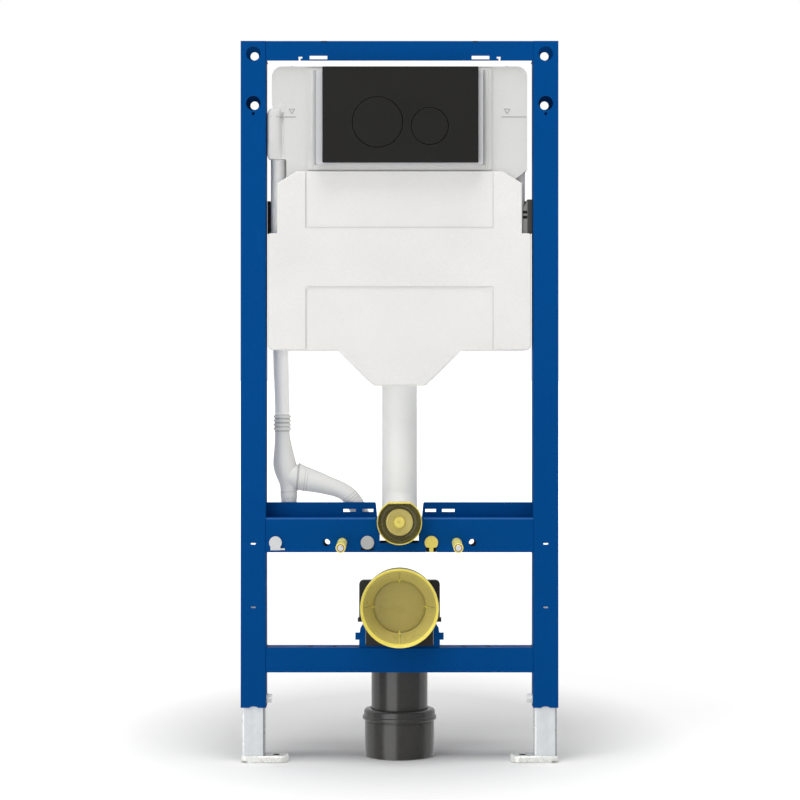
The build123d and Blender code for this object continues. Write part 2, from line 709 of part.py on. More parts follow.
def make_stud_nut(side):
    # flanged nut behind the rail's back web
    cx = side * stud_x
    with BuildPart() as nut:
        with BuildSketch(Plane.XZ.offset(-3.0)):
            with Locations((cx, up(h_stud))):
                Circle(12.0)
                Circle(stud_r + 0.05, mode=Mode.SUBTRACT)
        extrude(amount=3.0)
        with BuildSketch(Plane.XZ.offset(-12.5)):
            with Locations((cx, up(h_stud))):
                RegularPolygon(10.9, 6)
                Circle(stud_r + 0.05, mode=Mode.SUBTRACT)
        extrude(amount=9.5)
    return nut


def make_stud_sleeve(side):
    # plastic sleeve that protects the stud's thread until the pan goes on
    cx = side * stud_x
    with BuildPart() as sleeve:
        with BuildSketch(Plane.XZ.offset(-front + 0.1)):
            with Locations((cx, up(h_stud))):
                Circle(7.6)
                Circle(stud_r + 0.15, mode=Mode.SUBTRACT)
        extrude(amount=114.0)
    return sleeve


for tag, side in (("left", -1), ("right", 1)):
    item = make_stud(side)
    item.part.label = tag + "_pan_stud"
    export_step(item.part, "parts/" + tag + "_pan_stud.step")
    item = make_stud_nut(side)
    item.part.label = tag + "_stud_nut"
    export_step(item.part, "parts/" + tag + "_stud_nut.step")
    item = make_stud_sleeve(side)
    item.part.label = tag + "_stud_sleeve"
    export_step(item.part, "parts/" + tag + "_stud_sleeve.step")

# ------------------------------------------------------------------ rail plugs
with BuildPart() as supply_cap:
    # round cap with a flat foot at the end of the outer conduit
    with BuildSketch(Plane.XZ.offset(-front)):
        with Locations((-195.0, up(347.0))):
            Circle(9.9)
        with Locations((-195.0, up(339.6))):
            Rectangle(15.5, 8.8)
        with Locations((-184.6, up(336.8))):
            Rectangle(8.4, 2.6)
    extrude(amount=5.0)
supply_cap.part.label = "supply_cap"
export_step(supply_cap.part, "parts/supply_cap.step")

with BuildPart() as branch_cap:
    # rough round cap at the end of the branch conduit
    with BuildSketch(Plane.XZ.offset(-front)):
        with Locations((-50.4, up(347.0))):
            Circle(10.6)
    extrude(amount=6.0)
    fillet(branch_cap.faces().sort_by(Axis.Y)[0].edges(), 1.0)
branch_cap.part.label = "branch_cap"
export_step(branch_cap.part, "parts/branch_cap.step")

with BuildPart() as spare_plug:
    # yellow plug cut flat at the bottom, with a stem below it
    with BuildSketch(Plane.XZ.offset(-front)):
        with Locations((50.0, up(347.0))):
            Circle(10.5)
        with Locations((50.0, up(331.8))):
            Rectangle(30.0, 15.4, mode=Mode.SUBTRACT)
        with Locations((50.0, up(336.2))):
            Rectangle(6.3, 7.0)
    extrude(amount=5.0)
    with BuildSketch(Plane.XZ.offset(-front - 8.0)):
        with Locations((50.0, up(347.0))):
            Circle(7.9)
    extrude(amount=8.0)
spare_plug.part.label = "spare_plug"
export_step(spare_plug.part, "parts/spare_plug.step")

# ------------------------------------------------------------------ conduits
with BuildPart() as conduit_head:
    # closed upper end of the conduit, let into the corner of the tank
    with BuildSketch(Plane.XY.offset(up(951.0))):
        with Locations((-194.4, -10.6)):
            RectangleRounded(24.6, 45.0, 8.0)
    extrude(amount=1036.5 - 951.0)
    fillet(conduit_head.faces().sort_by(Axis.Z)[-1].edges(), 5.0)
    chamfer(conduit_head.faces().sort_by(Axis.Z)[0].edges(), 4.5)
conduit_head.part.label = "conduit_head"
export_step(conduit_head.part, "parts/conduit_head.step")

with BuildPart() as conduit_pipe:
    # empty pipe down the left side of the tank
    with BuildLine() as pipe_path:
        FilletPolyline((-192.2, upper_y, up(950.8)), (-192.2, upper_y, up(760.0)),
                       (-187.0, conduit_y, up(560.0)), (-187.0, conduit_y, up(548.8)), radius=100)
    with BuildSketch(Plane.XY.offset(up(950.8))):
        with Locations((-192.2, upper_y)):
            Circle(11.7)
    sweep(path=pipe_path.line)
conduit_pipe.part.label = "conduit_pipe"
export_step(conduit_pipe.part, "parts/conduit_pipe.step")

with BuildPart() as conduit_bellows:
    # short corrugated coupling
    ring_h = [543.9, 537.5, 530.9, 524.6]
    with BuildSketch(Plane.XZ.offset(-conduit_y)):
        pts = [(0, 548.0), (11.7, 548.0)]
        for rh in ring_h:
            pts += [(11.9, rh + 2.6), (14.2, rh + 0.8), (14.2, rh - 0.8), (11.9, rh - 2.6)]
        pts += [(12.0, 520.0), (0, 520.0)]
        with BuildLine():
            Polyline(*[(-187.0 + r, up(h)) for r, h in pts], close=True)
        make_face()
    revolve(axis=Axis((-187.0, conduit_y, 0), (0, 0, 1)))
conduit_bellows.part.label = "conduit_bellows"
export_step(conduit_bellows.part, "parts/conduit_bellows.step")

with BuildPart() as conduit_tee:
    # bottle-shaped branch piece
    sections = [(-187.0, 520.0, 11.8), (-186.4, 507.9, 12.6), (-184.9, 489.9, 15.1), (-183.6, 474.0, 17.8),
                (-182.0, 461.0, 18.6), (-178.6, 443.0, 15.6), (-176.6, 427.0, 13.4), (-176.4, 413.0, 12.5)]
    for sx, sh, sr in sections:
        with BuildSketch(Plane.XY.offset(up(sh))):
            with Locations((sx, conduit_y)):
                Circle(sr)
    loft()
    for sx, sh, sr in ((-181.0, 450.0, 16.4),):
        with BuildSketch(Plane.YZ.offset(sx)):
            with Locations((conduit_y, up(sh))):
                Circle(sr)
        with BuildSketch(Plane.YZ.offset(-162.0)):
            with Locations((conduit_y, up(447.6))):
                Circle(20.2)
        loft()
conduit_tee.part.label = "conduit_tee"
export_step(conduit_tee.part, "parts/conduit_tee.step")

with BuildPart() as conduit_branch:
    # cone from the branch piece, then a bent pipe down behind the middle rail
    for sx, sh, sr in ((-162.0, 447.6, 20.9), (-150.0, 444.2, 18.4), (-138.2, 440.9, 16.2), (-119.7, 434.6, 13.8)):
        with BuildSketch(Plane.YZ.offset(sx)):
            with Locations((conduit_y, up(sh))):
                Circle(sr)
    loft()
    with BuildLine() as branch_path:
        FilletPolyline((-119.7, conduit_y, up(434.6)), (-88.0, conduit_y, up(426.6)),
                       (-61.5, conduit_y, up(388.0)), (-50.4, conduit_y, up(364.0)),
                       (-50.4, conduit_y, up(337.0)), radius=22)
    with BuildSketch(Plane(origin=(-119.7, conduit_y, up(434.6)), z_dir=(31.7, 0, -8.0))):
        Circle(13.9)
    sweep(path=branch_path.line)
    with BuildSketch(Plane.XZ.offset(-conduit_y - 6.0)):
        with Locations((-50.4, up(347.0))):
            Circle(7.8)
    extrude(amount=-front + conduit_y + 6.0)
conduit_branch.part.label = "conduit_branch"
export_step(conduit_branch.part, "parts/conduit_branch.step")

with BuildPart() as conduit_tail:
    # lower end of the outer conduit, behind the middle rail
    with BuildLine() as tail_path:
        FilletPolyline((-176.4, conduit_y, up(413.0)), (-176.4, conduit_y, up(396.0)),
                       (-195.0, conduit_y, up(366.0)), (-195.0, conduit_y, up(337.0)), radius=22)
    with BuildSketch(Plane(origin=(-176.4, conduit_y, up(413.0)), z_dir=(0, 0, -1))):
        Circle(12.6)
    sweep(path=tail_path.line)
    with BuildSketch(Plane.XZ.offset(-conduit_y - 6.0)):
        with Locations((-195.0, up(347.0))):
            Circle(7.8)
    extrude(amount=-front + conduit_y + 6.0)
conduit_tail.part.label = "conduit_tail"
export_step(conduit_tail.part, "parts/conduit_tail.step")
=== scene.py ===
import bpy
import bmesh
import json
import math
import random
from mathutils import Vector, Matrix


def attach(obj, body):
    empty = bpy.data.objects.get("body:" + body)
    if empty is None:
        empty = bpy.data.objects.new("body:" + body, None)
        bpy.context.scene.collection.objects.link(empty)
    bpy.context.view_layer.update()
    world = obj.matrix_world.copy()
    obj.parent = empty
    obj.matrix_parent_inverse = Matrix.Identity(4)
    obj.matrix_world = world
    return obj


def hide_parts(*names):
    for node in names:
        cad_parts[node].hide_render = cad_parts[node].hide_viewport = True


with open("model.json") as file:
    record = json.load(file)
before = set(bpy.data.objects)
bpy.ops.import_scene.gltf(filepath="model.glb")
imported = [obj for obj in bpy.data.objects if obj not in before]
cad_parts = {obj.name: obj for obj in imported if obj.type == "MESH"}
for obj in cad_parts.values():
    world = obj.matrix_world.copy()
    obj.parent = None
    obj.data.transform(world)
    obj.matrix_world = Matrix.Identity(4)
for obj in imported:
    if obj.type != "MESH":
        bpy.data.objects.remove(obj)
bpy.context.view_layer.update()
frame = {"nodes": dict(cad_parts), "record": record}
nodes = frame["nodes"]
scene = bpy.context.scene

# The row's frame: x right, y back, z up, origin on the back face of the top rail.
# h is a height above the underside of the feet, in millimetres.
H0 = 1128.0


def P(x, y, h):
    return Vector((x / 1000.0, y / 1000.0, (h - H0) / 1000.0))


# ---------------------------------------------------------------- camera
CAM_D = 3900.0
cam_data = bpy.data.cameras.new("camera_main")
cam = bpy.data.objects.new("camera_main", cam_data)
scene.collection.objects.link(cam)
cam.location = P(0.0, -40.0 - CAM_D, 625.4)
cam.rotation_euler = (math.radians(90.0), 0.0, 0.0)
cam_data.sensor_width = 36.0
cam_data.lens = 111.6
cam_data.shift_x = 0.0006
cam_data.shift_y = -0.0431
cam_data.clip_end = 100.0
scene.camera = cam

scene.view_settings.view_transform = "Standard"
scene.view_settings.look = "None"
scene.view_settings.exposure = 0.0
scene.view_settings.gamma = 1.0


# ---------------------------------------------------------------- materials
def lin(c):
    out = []
    for v in c:
        v = v / 255.0
        out.append(v / 12.92 if v <= 0.04045 else ((v + 0.055) / 1.055) ** 2.4)
    return (out[0], out[1], out[2], 1.0)


class Mat:
    """A procedural material: a Principled shader with a small toolbox for its inputs."""

    def __init__(self, name):
        self.m = bpy.data.materials.new(name)
        self.m.use_nodes = True
        self.nt = self.m.node_tree
        self.nt.nodes.clear()
        self.out = self.add("ShaderNodeOutputMaterial")
        self.b = self.add("ShaderNodeBsdfPrincipled")
        self.link(self.b.outputs[0], self.out.inputs[0])
        self.tc = self.add("ShaderNodeTexCoord")
        self.co = self.tc.outputs["Object"]

    def add(self, kind):
        return self.nt.nodes.new(kind)

    def link(self, a, b):
        self.nt.links.new(a, b)

    def set(self, name, value):
        self.b.inputs[name].default_value = value

    def scaled(self, sx, sy, sz, rot=(0, 0, 0)):
        mp = self.add("ShaderNodeMapping")
        mp.inputs["Scale"].default_value = (sx, sy, sz)
        mp.inputs["Rotation"].default_value = rot
        self.link(self.co, mp.inputs["Vector"])
        return mp.outputs[0]

    def noise(self, scale, detail=3.0, rough=0.5, vec=None, distortion=0.0):
        n = self.add("ShaderNodeTexNoise")
        n.inputs["Scale"].default_value = scale
        n.inputs["Detail"].default_value = detail
        n.inputs["Roughness"].default_value = rough
        n.inputs["Distortion"].default_value = distortion
        self.link(vec if vec is not None else self.co, n.inputs["Vector"])
        return n.outputs["Fac"]

    def voronoi(self, scale, feature="F1", vec=None, rand=1.0, out="Distance"):
        n = self.add("ShaderNodeTexVoronoi")
        n.feature = feature
        n.inputs["Scale"].default_value = scale
        n.inputs["Randomness"].default_value = rand
        self.link(vec if vec is not None else self.co, n.inputs["Vector"])
        return n.outputs[out]

    def wave(self, scale, vec=None, direction="X", distortion=0.0, detail=0.0):
        n = self.add("ShaderNodeTexWave")
        n.bands_direction = direction
        n.inputs["Scale"].default_value = scale
        n.inputs["Distortion"].default_value = distortion
        n.inputs["Detail"].default_value = detail
        self.link(vec if vec is not None else self.co, n.inputs["Vector"])
        return n.outputs["Fac"]

    def ramp(self, fac, stops, interp="LINEAR"):
        r = self.add("ShaderNodeValToRGB")
        r.color_ramp.interpolation = interp
        els = r.color_ramp.elements
        while len(els) > 1:
            els.remove(els[-1])
        first = True
        for pos, col in stops:
            if not isinstance(col, (tuple, list)):
                col = (col, col, col, 1.0)
            if first:
                els[0].position = pos
                els[0].color = col
                first = False
            else:
                e = els.new(pos)
                e.color = col
        self.link(fac, r.inputs["Fac"])
        return r.outputs["Color"]

    def remap(self, fac, lo, hi, a=0.0, b=1.0):
        r = self.add("ShaderNodeMapRange")
        r.inputs["From Min"].default_value = a
        r.inputs["From Max"].default_value = b
        r.inputs["To Min"].default_value = lo
        r.inputs["To Max"].default_value = hi
        self.link(fac, r.inputs["Value"])
        return r.outputs["Result"]

    def math(self, op, a, b=None, clamp=False):
        n = self.add("ShaderNodeMath")
        n.operation = op
        n.use_clamp = clamp
        for i, v in enumerate((a, b)):
            if v is None:
                continue
            if isinstance(v, (int, float)):
                n.inputs[i].default_value = v
            else:
                self.link(v, n.inputs[i])
        return n.outputs[0]

    def mix(self, fac, a, b, blend="MIX"):
        n = self.add("ShaderNodeMix")
        n.data_type = "RGBA"
        n.blend_type = blend
        if isinstance(fac, (int, float)):
            n.inputs["Factor"].default_value = fac
        else:
            self.link(fac, n.inputs["Factor"])
        for key, v in ((6, a), (7, b)):
            if isinstance(v, (tuple, list)):
                n.inputs[key].default_value = v
            else:
                self.link(v, n.inputs[key])
        return n.outputs[2]

    def pos(self):
        s = self.add("ShaderNodeSeparateXYZ")
        self.link(self.co, s.inputs[0])
        return s.outputs[0], s.outputs[1], s.outputs[2]

    def edges(self, lo=0.52, hi=0.62):
        g = self.add("ShaderNodeNewGeometry")
        return self.remap(g.outputs["Pointiness"], 0.0, 1.0, lo, hi)

    def color(self, sock):
        self.link(sock, self.b.inputs["Base Color"])

    def rough(self, sock):
        self.link(sock, self.b.inputs["Roughness"])

    def bump(self, *layers):
        """layers: (height socket, strength, distance in metres)"""
        last = None
        for h, st, dist in layers:
            n = self.add("ShaderNodeBump")
            n.inputs["Strength"].default_value = st
            n.inputs["Distance"].default_value = dist
            self.link(h, n.inputs["Height"])
            if last is not None:
                self.link(last, n.inputs["Normal"])
            last = n.outputs[0]
        self.link(last, self.b.inputs["Normal"])


def shade(c, k):
    return (c[0] * k, c[1] * k, c[2] * k, 1.0)


def tone(m, base, spread=0.06, scale=6.0, detail=4.0, fine=120.0, fine_spread=0.03):
    """A base colour with a slow and a fine variation."""
    slow = m.noise(scale, detail)
    a = m.ramp(slow, [(0.3, shade(base, 1.0 - spread)), (0.7, shade(base, 1.0 + spread))])
    quick = m.noise(fine, 2.0)
    b = m.ramp(quick, [(0.35, (1 - fine_spread,) * 3 + (1.0,)), (0.65, (1.0,) * 3 + (1.0,))])
    return m.mix(1.0, a, b, "MULTIPLY")


def blue_coat(name, tint=(0, 69, 134)):
    m = Mat(name)
    base = lin(tint)
    col = tone(m, base, 0.05, 3.0, 3.0, 260.0, 0.04)
    # faint handling marks, a little paler
    scuff = m.noise(34.0, 6.0, 0.7, m.scaled(1.0, 1.0, 0.35))
    mask = m.ramp(scuff, [(0.66, 0.0), (0.80, 0.22)])
    col = m.mix(mask, col, lin((24, 92, 160)))
    m.color(col)
    m.rough(m.remap(m.noise(40.0, 5.0, 0.6), 0.40, 0.54, 0.3, 0.7))
    m.set("Specular IOR Level", 0.03)
    m.bump((m.noise(620.0, 2.0), 0.16, 0.0004), (m.noise(9.0, 2.0), 0.05, 0.002))
    return m.m


def galvanised(name, base=(232, 236, 239), metal=0.15):
    m = Mat(name)
    b = lin(base)
    cells = m.voronoi(240.0, "F1", m.scaled(1.0, 1.0, 0.55), 1.0, "Color")
    grey = m.add("ShaderNodeRGBToBW")
    m.link(cells, grey.inputs[0])
    col = m.ramp(grey.outputs[0], [(0.1, shade(b, 0.965)), (0.9, shade(b, 1.02))])
    streak = m.noise(70.0, 4.0, 0.6, m.scaled(1.0, 1.0, 0.06))
    col = m.mix(1.0, col, m.ramp(streak, [(0.35, (0.93, 0.935, 0.94, 1)), (0.65, (1, 1, 1, 1))]), "MULTIPLY")
    m.color(col)
    m.set("Metallic", metal)
    m.rough(m.remap(grey.outputs[0], 0.34, 0.50))
    m.bump((m.noise(500.0, 3.0), 0.08, 0.0003), (streak, 0.06, 0.0006))
    return m.m


def zinc(name, base=(248, 248, 244)):
    m = Mat(name)
    b = lin(base)
    col = tone(m, b, 0.02, 22.0, 4.0, 300.0, 0.012)
    m.color(col)
    m.set("Metallic", 0.2)
    m.rough(m.remap(m.noise(160.0, 4.0), 0.22, 0.38, 0.3, 0.7))
    m.bump((m.noise(420.0, 3.0), 0.03, 0.0002),)
    return m.m


def moulded(name, base, rough=(0.42, 0.56), spread=0.02, spec=0.4, grain=420.0, grain_st=0.06, sss=0.0):
    m = Mat(name)
    b = lin(base)
    col = tone(m, b, spread, 5.0, 4.0, 180.0, 0.015)
    m.color(col)
    m.rough(m.remap(m.noise(30.0, 4.0), rough[0], rough[1], 0.3, 0.7))
    m.set("Specular IOR Level", spec)
    if sss:
        m.set("Subsurface Weight", sss)
        m.set("Subsurface Scale", 0.004)
    m.bump((m.noise(grain, 2.0), grain_st, 0.0004), (m.noise(14.0, 2.0), 0.05, 0.0015))
    return m.m


def foam(name, base=(227, 226, 224)):
    m = Mat(name)
    b = lin(base)
    # fused beads about 3.5 mm across
    edge = m.voronoi(285.0, "DISTANCE_TO_EDGE")
    cell = m.voronoi(285.0, "F1", None, 1.0, "Color")
    grey = m.add("ShaderNodeRGBToBW")
    m.link(cell, grey.inputs[0])
    slow = m.noise(7.0, 4.0)
    col = m.ramp(slow, [(0.3, shade(b, 0.965)), (0.7, shade(b, 1.02))])
    bead = m.ramp(grey.outputs[0], [(0.0, (0.975, 0.975, 0.972, 1)), (1.0, (1.0, 1.0, 1.0, 1))])
    col = m.mix(1.0, col, bead, "MULTIPLY")
    seam = m.ramp(edge, [(0.0, (0.94, 0.94, 0.935, 1)), (0.10, (1, 1, 1, 1))])
    col = m.mix(0.8, col, seam, "MULTIPLY")
    # a few pinholes between the beads
    pin = m.voronoi(95.0, "F1")
    hole = m.ramp(pin, [(0.05, (0.80, 0.80, 0.79, 1)), (0.085, (1, 1, 1, 1))])
    col = m.mix(0.55, col, hole, "MULTIPLY")
    m.color(col)
    m.set("Specular IOR Level", 0.25)
    m.rough(m.remap(grey.outputs[0], 0.62, 0.78))
    m.bump((m.ramp(edge, [(0.0, 0.0), (0.12, 1.0)]), 0.10, 0.0005), (slow, 0.06, 0.003),
           (m.noise(60.0, 4.0), 0.10, 0.0008))
    return m.m


def black_lacquer(name, base=(30, 29, 28)):
    m = Mat(name)
    b = lin(base)
    col = tone(m, b, 0.06, 8.0, 3.0, 500.0, 0.06)
    m.color(col)
    m.rough(m.remap(m.noise(24.0, 4.0), 0.42, 0.54, 0.3, 0.7))
    m.set("Specular IOR Level", 0.22)
    m.bump((m.noise(1500.0, 2.0), 0.05, 0.0002),)
    return m.m


def black_pe(name, base=(67, 66, 64)):
    m = Mat(name)
    b = lin(base)
    col = tone(m, b, 0.10, 9.0, 4.0, 160.0, 0.08)
    # faint extrusion lines down the pipe and a little dust
    line = m.noise(260.0, 3.0, 0.6, m.scaled(1.0, 1.0, 0.02))
    dust = m.ramp(m.noise(60.0, 6.0, 0.7), [(0.60, 0.0), (0.85, 0.16)])
    col = m.mix(dust, col, lin((120, 118, 114)))
    m.color(col)
    m.rough(m.remap(m.noise(18.0, 5.0), 0.17, 0.25, 0.3, 0.7))
    m.set("Specular IOR Level", 0.69)
    m.bump((line, 0.10, 0.0003), (m.noise(12.0, 2.0), 0.08, 0.002))
    return m.m


def yellow(name, base=(226, 208, 96), trans=0.35):
    m = Mat(name)
    b = lin(base)
    col = tone(m, b, 0.06, 12.0, 4.0, 200.0, 0.04)
    m.color(col)
    m.rough(m.remap(m.noise(40.0, 4.0), 0.24, 0.38, 0.3, 0.7))
    m.set("Specular IOR Level", 0.5)
    m.set("Transmission Weight", trans)
    m.set("IOR", 1.45)
    m.set("Subsurface Weight", 0.2)
    m.set("Subsurface Scale", 0.004)
    m.set("Subsurface Radius", (1.0, 0.8, 0.2))
    m.bump((m.noise(160.0, 3.0), 0.05, 0.0005), (m.noise(18.0, 2.0), 0.06, 0.0015))
    return m.m


M_BLUE = blue_coat("powder_coat_blue")
M_GALV = galvanised("galvanised_sheet")
M_ZINC = zinc("bright_zinc")
M_RODEND = zinc("rod_end_zinc", (206, 206, 203))
M_TANK = moulded("tank_polyethylene", (208, 208, 206), (0.40, 0.52), 0.015, 0.35, 300.0, 0.05)
M_FOAM = foam("bead_foam")
M_SURR = moulded("surround_plastic", (200, 201, 203), (0.38, 0.5), 0.012, 0.4, 500.0, 0.04)
M_PLATE = black_lacquer("matt_black_plate")
M_BLACK = moulded("black_moulding", (38, 38, 37), (0.36, 0.5), 0.08, 0.4, 420.0, 0.10)
M_PIPE = moulded("light_pipe_plastic", (235, 235, 233), (0.36, 0.5), 0.015, 0.4, 260.0, 0.05, 0.05)
M_PE = black_pe("black_pipe")
M_YEL = yellow("yellow_plug_plastic", (226, 210, 104), 0.0)
M_YDISC_SHADE = yellow("yellow_plug_disc_painted_shade", (180, 166, 92), 0.0)
M_YCONE_SHADE = yellow("yellow_plug_cone_painted_shade", (196, 183, 106), 0.0)
M_YHIGHLIGHT = yellow("yellow_plug_painted_highlight", (238, 221, 100), 0.0)
M_YLINE = yellow("yellow_plug_shade", (156, 143, 80), 0.0)
M_BROWN = yellow("sleeve_seal", (158, 112, 56), 0.0)
M_YCAP_SHADE = yellow("yellow_cap_painted_shade", (96, 90, 52), 0.0)
M_FOLD_HIGHLIGHT = blue_coat("powder_coat_painted_highlight", (46, 97, 164))
M_YBTN = yellow("yellow_cap_button", (200, 184, 106), 0.0)
# near-black stand-in for the shade inside slots, holes and recesses: painted shade
M_PAINTED_SHADE = moulded("painted_shade_recess", (20, 20, 20), (0.5, 0.7), 0.10, 0.2, 300.0, 0.10)
# darker grey for the level marks, also used as painted shade in the gap round the service opening
M_MARK_AND_GAP_SHADE = moulded("level_marks_and_painted_gap_shade", (158, 159, 160), (0.45, 0.6), 0.03, 0.3, 300.0, 0.05)
M_PANEL_EDGE_SHADE = moulded("foam_panel_edge_painted_shade", (206, 205, 202), (0.6, 0.75), 0.02, 0.2, 300.0, 0.05)
# brighter copy of the light pipe plastic for the conduit pipe: painted light against the shade of its recess
M_CONDUIT_LIFTED = moulded("light_conduit_plastic_painted_light", (250, 250, 248), (0.36, 0.5), 0.01, 0.4, 260.0, 0.05, 0.05)
M_FOOT = zinc("pressed_foot_zinc", (250, 250, 246))
M_CLIP = moulded("clip_plastic", (52, 52, 51), (0.36, 0.5), 0.06, 0.4, 420.0, 0.08)
M_SLEEVE = yellow("yellow_sleeve_plastic", (252, 238, 122), 0.0)
M_RODTIP = zinc("rod_tip_zinc", (222, 223, 221))
M_LEG_EDGE_HIGHLIGHT = zinc("leg_edge_painted_highlight", (250, 252, 253))
M_LEG_SIDE_SHADE = zinc("leg_inner_face_painted_shade", (170, 173, 176))
M_HEAD_SIDE_SHADE = moulded("conduit_head_side_painted_shade", (140, 141, 143), (0.45, 0.56), 0.02, 0.3, 300.0, 0.05)
M_LATCH = moulded("clip_latch_plastic", (124, 124, 122), (0.4, 0.52), 0.04, 0.35, 420.0, 0.06)
M_FOOT_TOP_SHADE = zinc("foot_top_painted_shade", (178, 180, 182))
M_TANK_FLANK_SHADE = moulded("tank_flank_painted_shade", (186, 186, 185), (0.45, 0.56), 0.02, 0.3, 300.0, 0.05)
M_TEE = moulded("light_branch_plastic", (229, 229, 227), (0.36, 0.5), 0.015, 0.4, 260.0, 0.05, 0.05)
M_SEAM_AND_GROOVE_SHADE = moulded("light_branch_seams_and_groove_shade", (186, 186, 185), (0.45, 0.6), 0.02, 0.3, 260.0, 0.05)
M_WCAP = moulded("white_cap_plastic", (207, 209, 211), (0.35, 0.5), 0.02, 0.4)
M_GCAP = moulded("grey_cap_plastic", (172, 174, 176), (0.5, 0.66), 0.05, 0.3, 700.0, 0.5)

BY_SLOT = {
    "blue_powder_coat": M_BLUE, "galvanised_steel": M_GALV, "zinc_plated_steel": M_ZINC,
    "grey_tank_plastic": M_TANK, "white_foam": M_FOAM, "surround_plastic": M_SURR, "black_plate": M_PLATE,
    "black_plastic": M_BLACK, "light_pipe_plastic": M_PIPE, "black_pipe_plastic": M_PE,
    "yellow_plastic": M_YEL, "white_cap_plastic": M_WCAP, "grey_cap_plastic": M_GCAP,
}
slot_of = {s["node"]: s["material_slot"] for s in frame["record"]["subparts"]}
for name, obj in nodes.items():
    obj.data.materials.clear()
    obj.data.materials.append(BY_SLOT[slot_of[name]])
for name, mat in (("conduit_head", M_TANK), ("conduit_tee", M_TEE), ("conduit_branch", M_TEE), ("conduit_pipe", M_CONDUIT_LIFTED),
                  ("left_pan_stud", M_RODEND), ("right_pan_stud", M_RODEND), ("left_stud_sleeve", M_SLEEVE), ("right_stud_sleeve", M_SLEEVE),
                  ("conduit_bellows", M_TEE), ("conduit_tail", M_TEE)):
    nodes[name].data.materials[0] = mat

# ---------------------------------------------------------------- floor and light
def stage_mesh(name, verts, faces, mat):
    me = bpy.data.meshes.new(name)
    me.from_pydata([tuple(v) for v in verts], [], faces)
    me.update()
    ob = bpy.data.objects.new(name, me)
    scene.collection.objects.link(ob)
    me.materials.append(mat)
    return ob


def floor_material():
    m = Mat("studio_floor")
    col = tone(m, (0.90, 0.90, 0.898, 1.0), 0.005, 0.6, 2.0, 40.0, 0.004)
    m.color(col)
    m.set("Roughness", 0.8)
    m.set("Specular IOR Level", 0.1)
    # the floor glows softly away from the object, so that it stays evenly white
    px, py, pz = m.pos()
    ex = m.math("DIVIDE", px, 0.375)
    ey = m.math("DIVIDE", m.math("SUBTRACT", py, 0.33), 0.62)
    reach = m.math("SQRT", m.math("ADD", m.math("MULTIPLY", ex, ex), m.math("MULTIPLY", ey, ey)))
    glow = m.math("ADD", m.remap(reach, 0.0, 0.25, 0.76, 1.30), m.remap(reach, 0.0, 0.80, 1.5, 12.0))
    m.set("Emission Color", (1.0, 1.0, 1.0, 1.0))
    m.link(glow, m.b.inputs["Emission Strength"])
    m.bump((m.noise(240.0, 2.0), 0.02, 0.0004),)
    return m.m


fz = (0.0 - H0) / 1000.0 - 0.0002
rings, sides = [0.0, 1.0, 2.0, 4.0, 8.0, 30.0, 120.0], 48
verts, faces = [(0.0, 0.0, fz)], []
for r in rings[1:]:
    for k in range(sides):
        t = 2.0 * math.pi * k / sides
        verts.append((r * math.cos(t), r * math.sin(t), fz))
for k in range(sides):
    faces.append((0, 1 + k, 1 + (k + 1) % sides))
for j in range(len(rings) - 2):
    a0, b0 = 1 + j * sides, 1 + (j + 1) * sides
    for k in range(sides):
        faces.append((a0 + k, b0 + k, b0 + (k + 1) % sides, a0 + (k + 1) % sides))
studio_floor = stage_mesh("studio_floor", verts, faces, floor_material())
# the object mirrors the light tent below the horizon too, not the floor
studio_floor.visible_glossy = False


def area(name, loc, target, sx, sy, radiance, color=(1, 1, 1)):
    d = bpy.data.lights.new(name, "AREA")
    d.shape = "RECTANGLE"
    d.size = sx
    d.size_y = sy
    d.energy = radiance * math.pi * sx * sy
    d.color = color
    o = bpy.data.objects.new(name, d)
    scene.collection.objects.link(o)
    o.location = loc
    o.rotation_euler = (Vector(target) - Vector(loc)).to_track_quat("-Z", "Y").to_euler()
    return o


area("key_overhead", P(0, -2400, 9150), P(0, 60, 500), 5.9, 5.6, 5.4)

# light tent: a bright panel at the front left, a bright back, dim elsewhere
world = bpy.data.worlds.new("studio_world")
scene.world = world
world.use_nodes = True
wt = world.node_tree
wt.nodes.clear()


def wnode(kind, **sockets):
    n = wt.nodes.new(kind)
    for key, value in sockets.items():
        n.inputs[key].default_value = value
    return n


def wmath(op, a, b=None):
    n = wt.nodes.new("ShaderNodeMath")
    n.operation = op
    for i, v in enumerate((a, b)):
        if v is None:
            continue
        if isinstance(v, (int, float)):
            n.inputs[i].default_value = v
        else:
            wt.links.new(v, n.inputs[i])
    return n.outputs[0]


def wstep(v, x0, x1, y0=0.0, y1=1.0):
    n = wt.nodes.new("ShaderNodeMapRange")
    n.interpolation_type = "SMOOTHSTEP"
    n.inputs["From Min"].default_value = x0
    n.inputs["From Max"].default_value = x1
    n.inputs["To Min"].default_value = y0
    n.inputs["To Max"].default_value = y1
    wt.links.new(v, n.inputs["Value"])
    return n.outputs["Result"]


w_dir = wt.nodes.new("ShaderNodeTexCoord")
w_sep = wt.nodes.new("ShaderNodeSeparateXYZ")
wt.links.new(w_dir.outputs["Generated"], w_sep.inputs[0])
w_az = wmath("ARCTAN2", w_sep.outputs[0], wmath("MULTIPLY", w_sep.outputs[1], -1.0))
w_el = wmath("ARCSINE", w_sep.outputs[2])
panel = wmath("MULTIPLY", wstep(w_az, math.radians(-57), math.radians(-51)),
              wstep(w_az, math.radians(-13), math.radians(-8), 1.0, 0.0))
panel = wmath("MULTIPLY", panel, wstep(w_el, math.radians(50), math.radians(65), 1.0, 0.0))
back = wstep(wmath("ABSOLUTE", w_az), math.radians(80), math.radians(100))
w_path = wt.nodes.new("ShaderNodeLightPath")
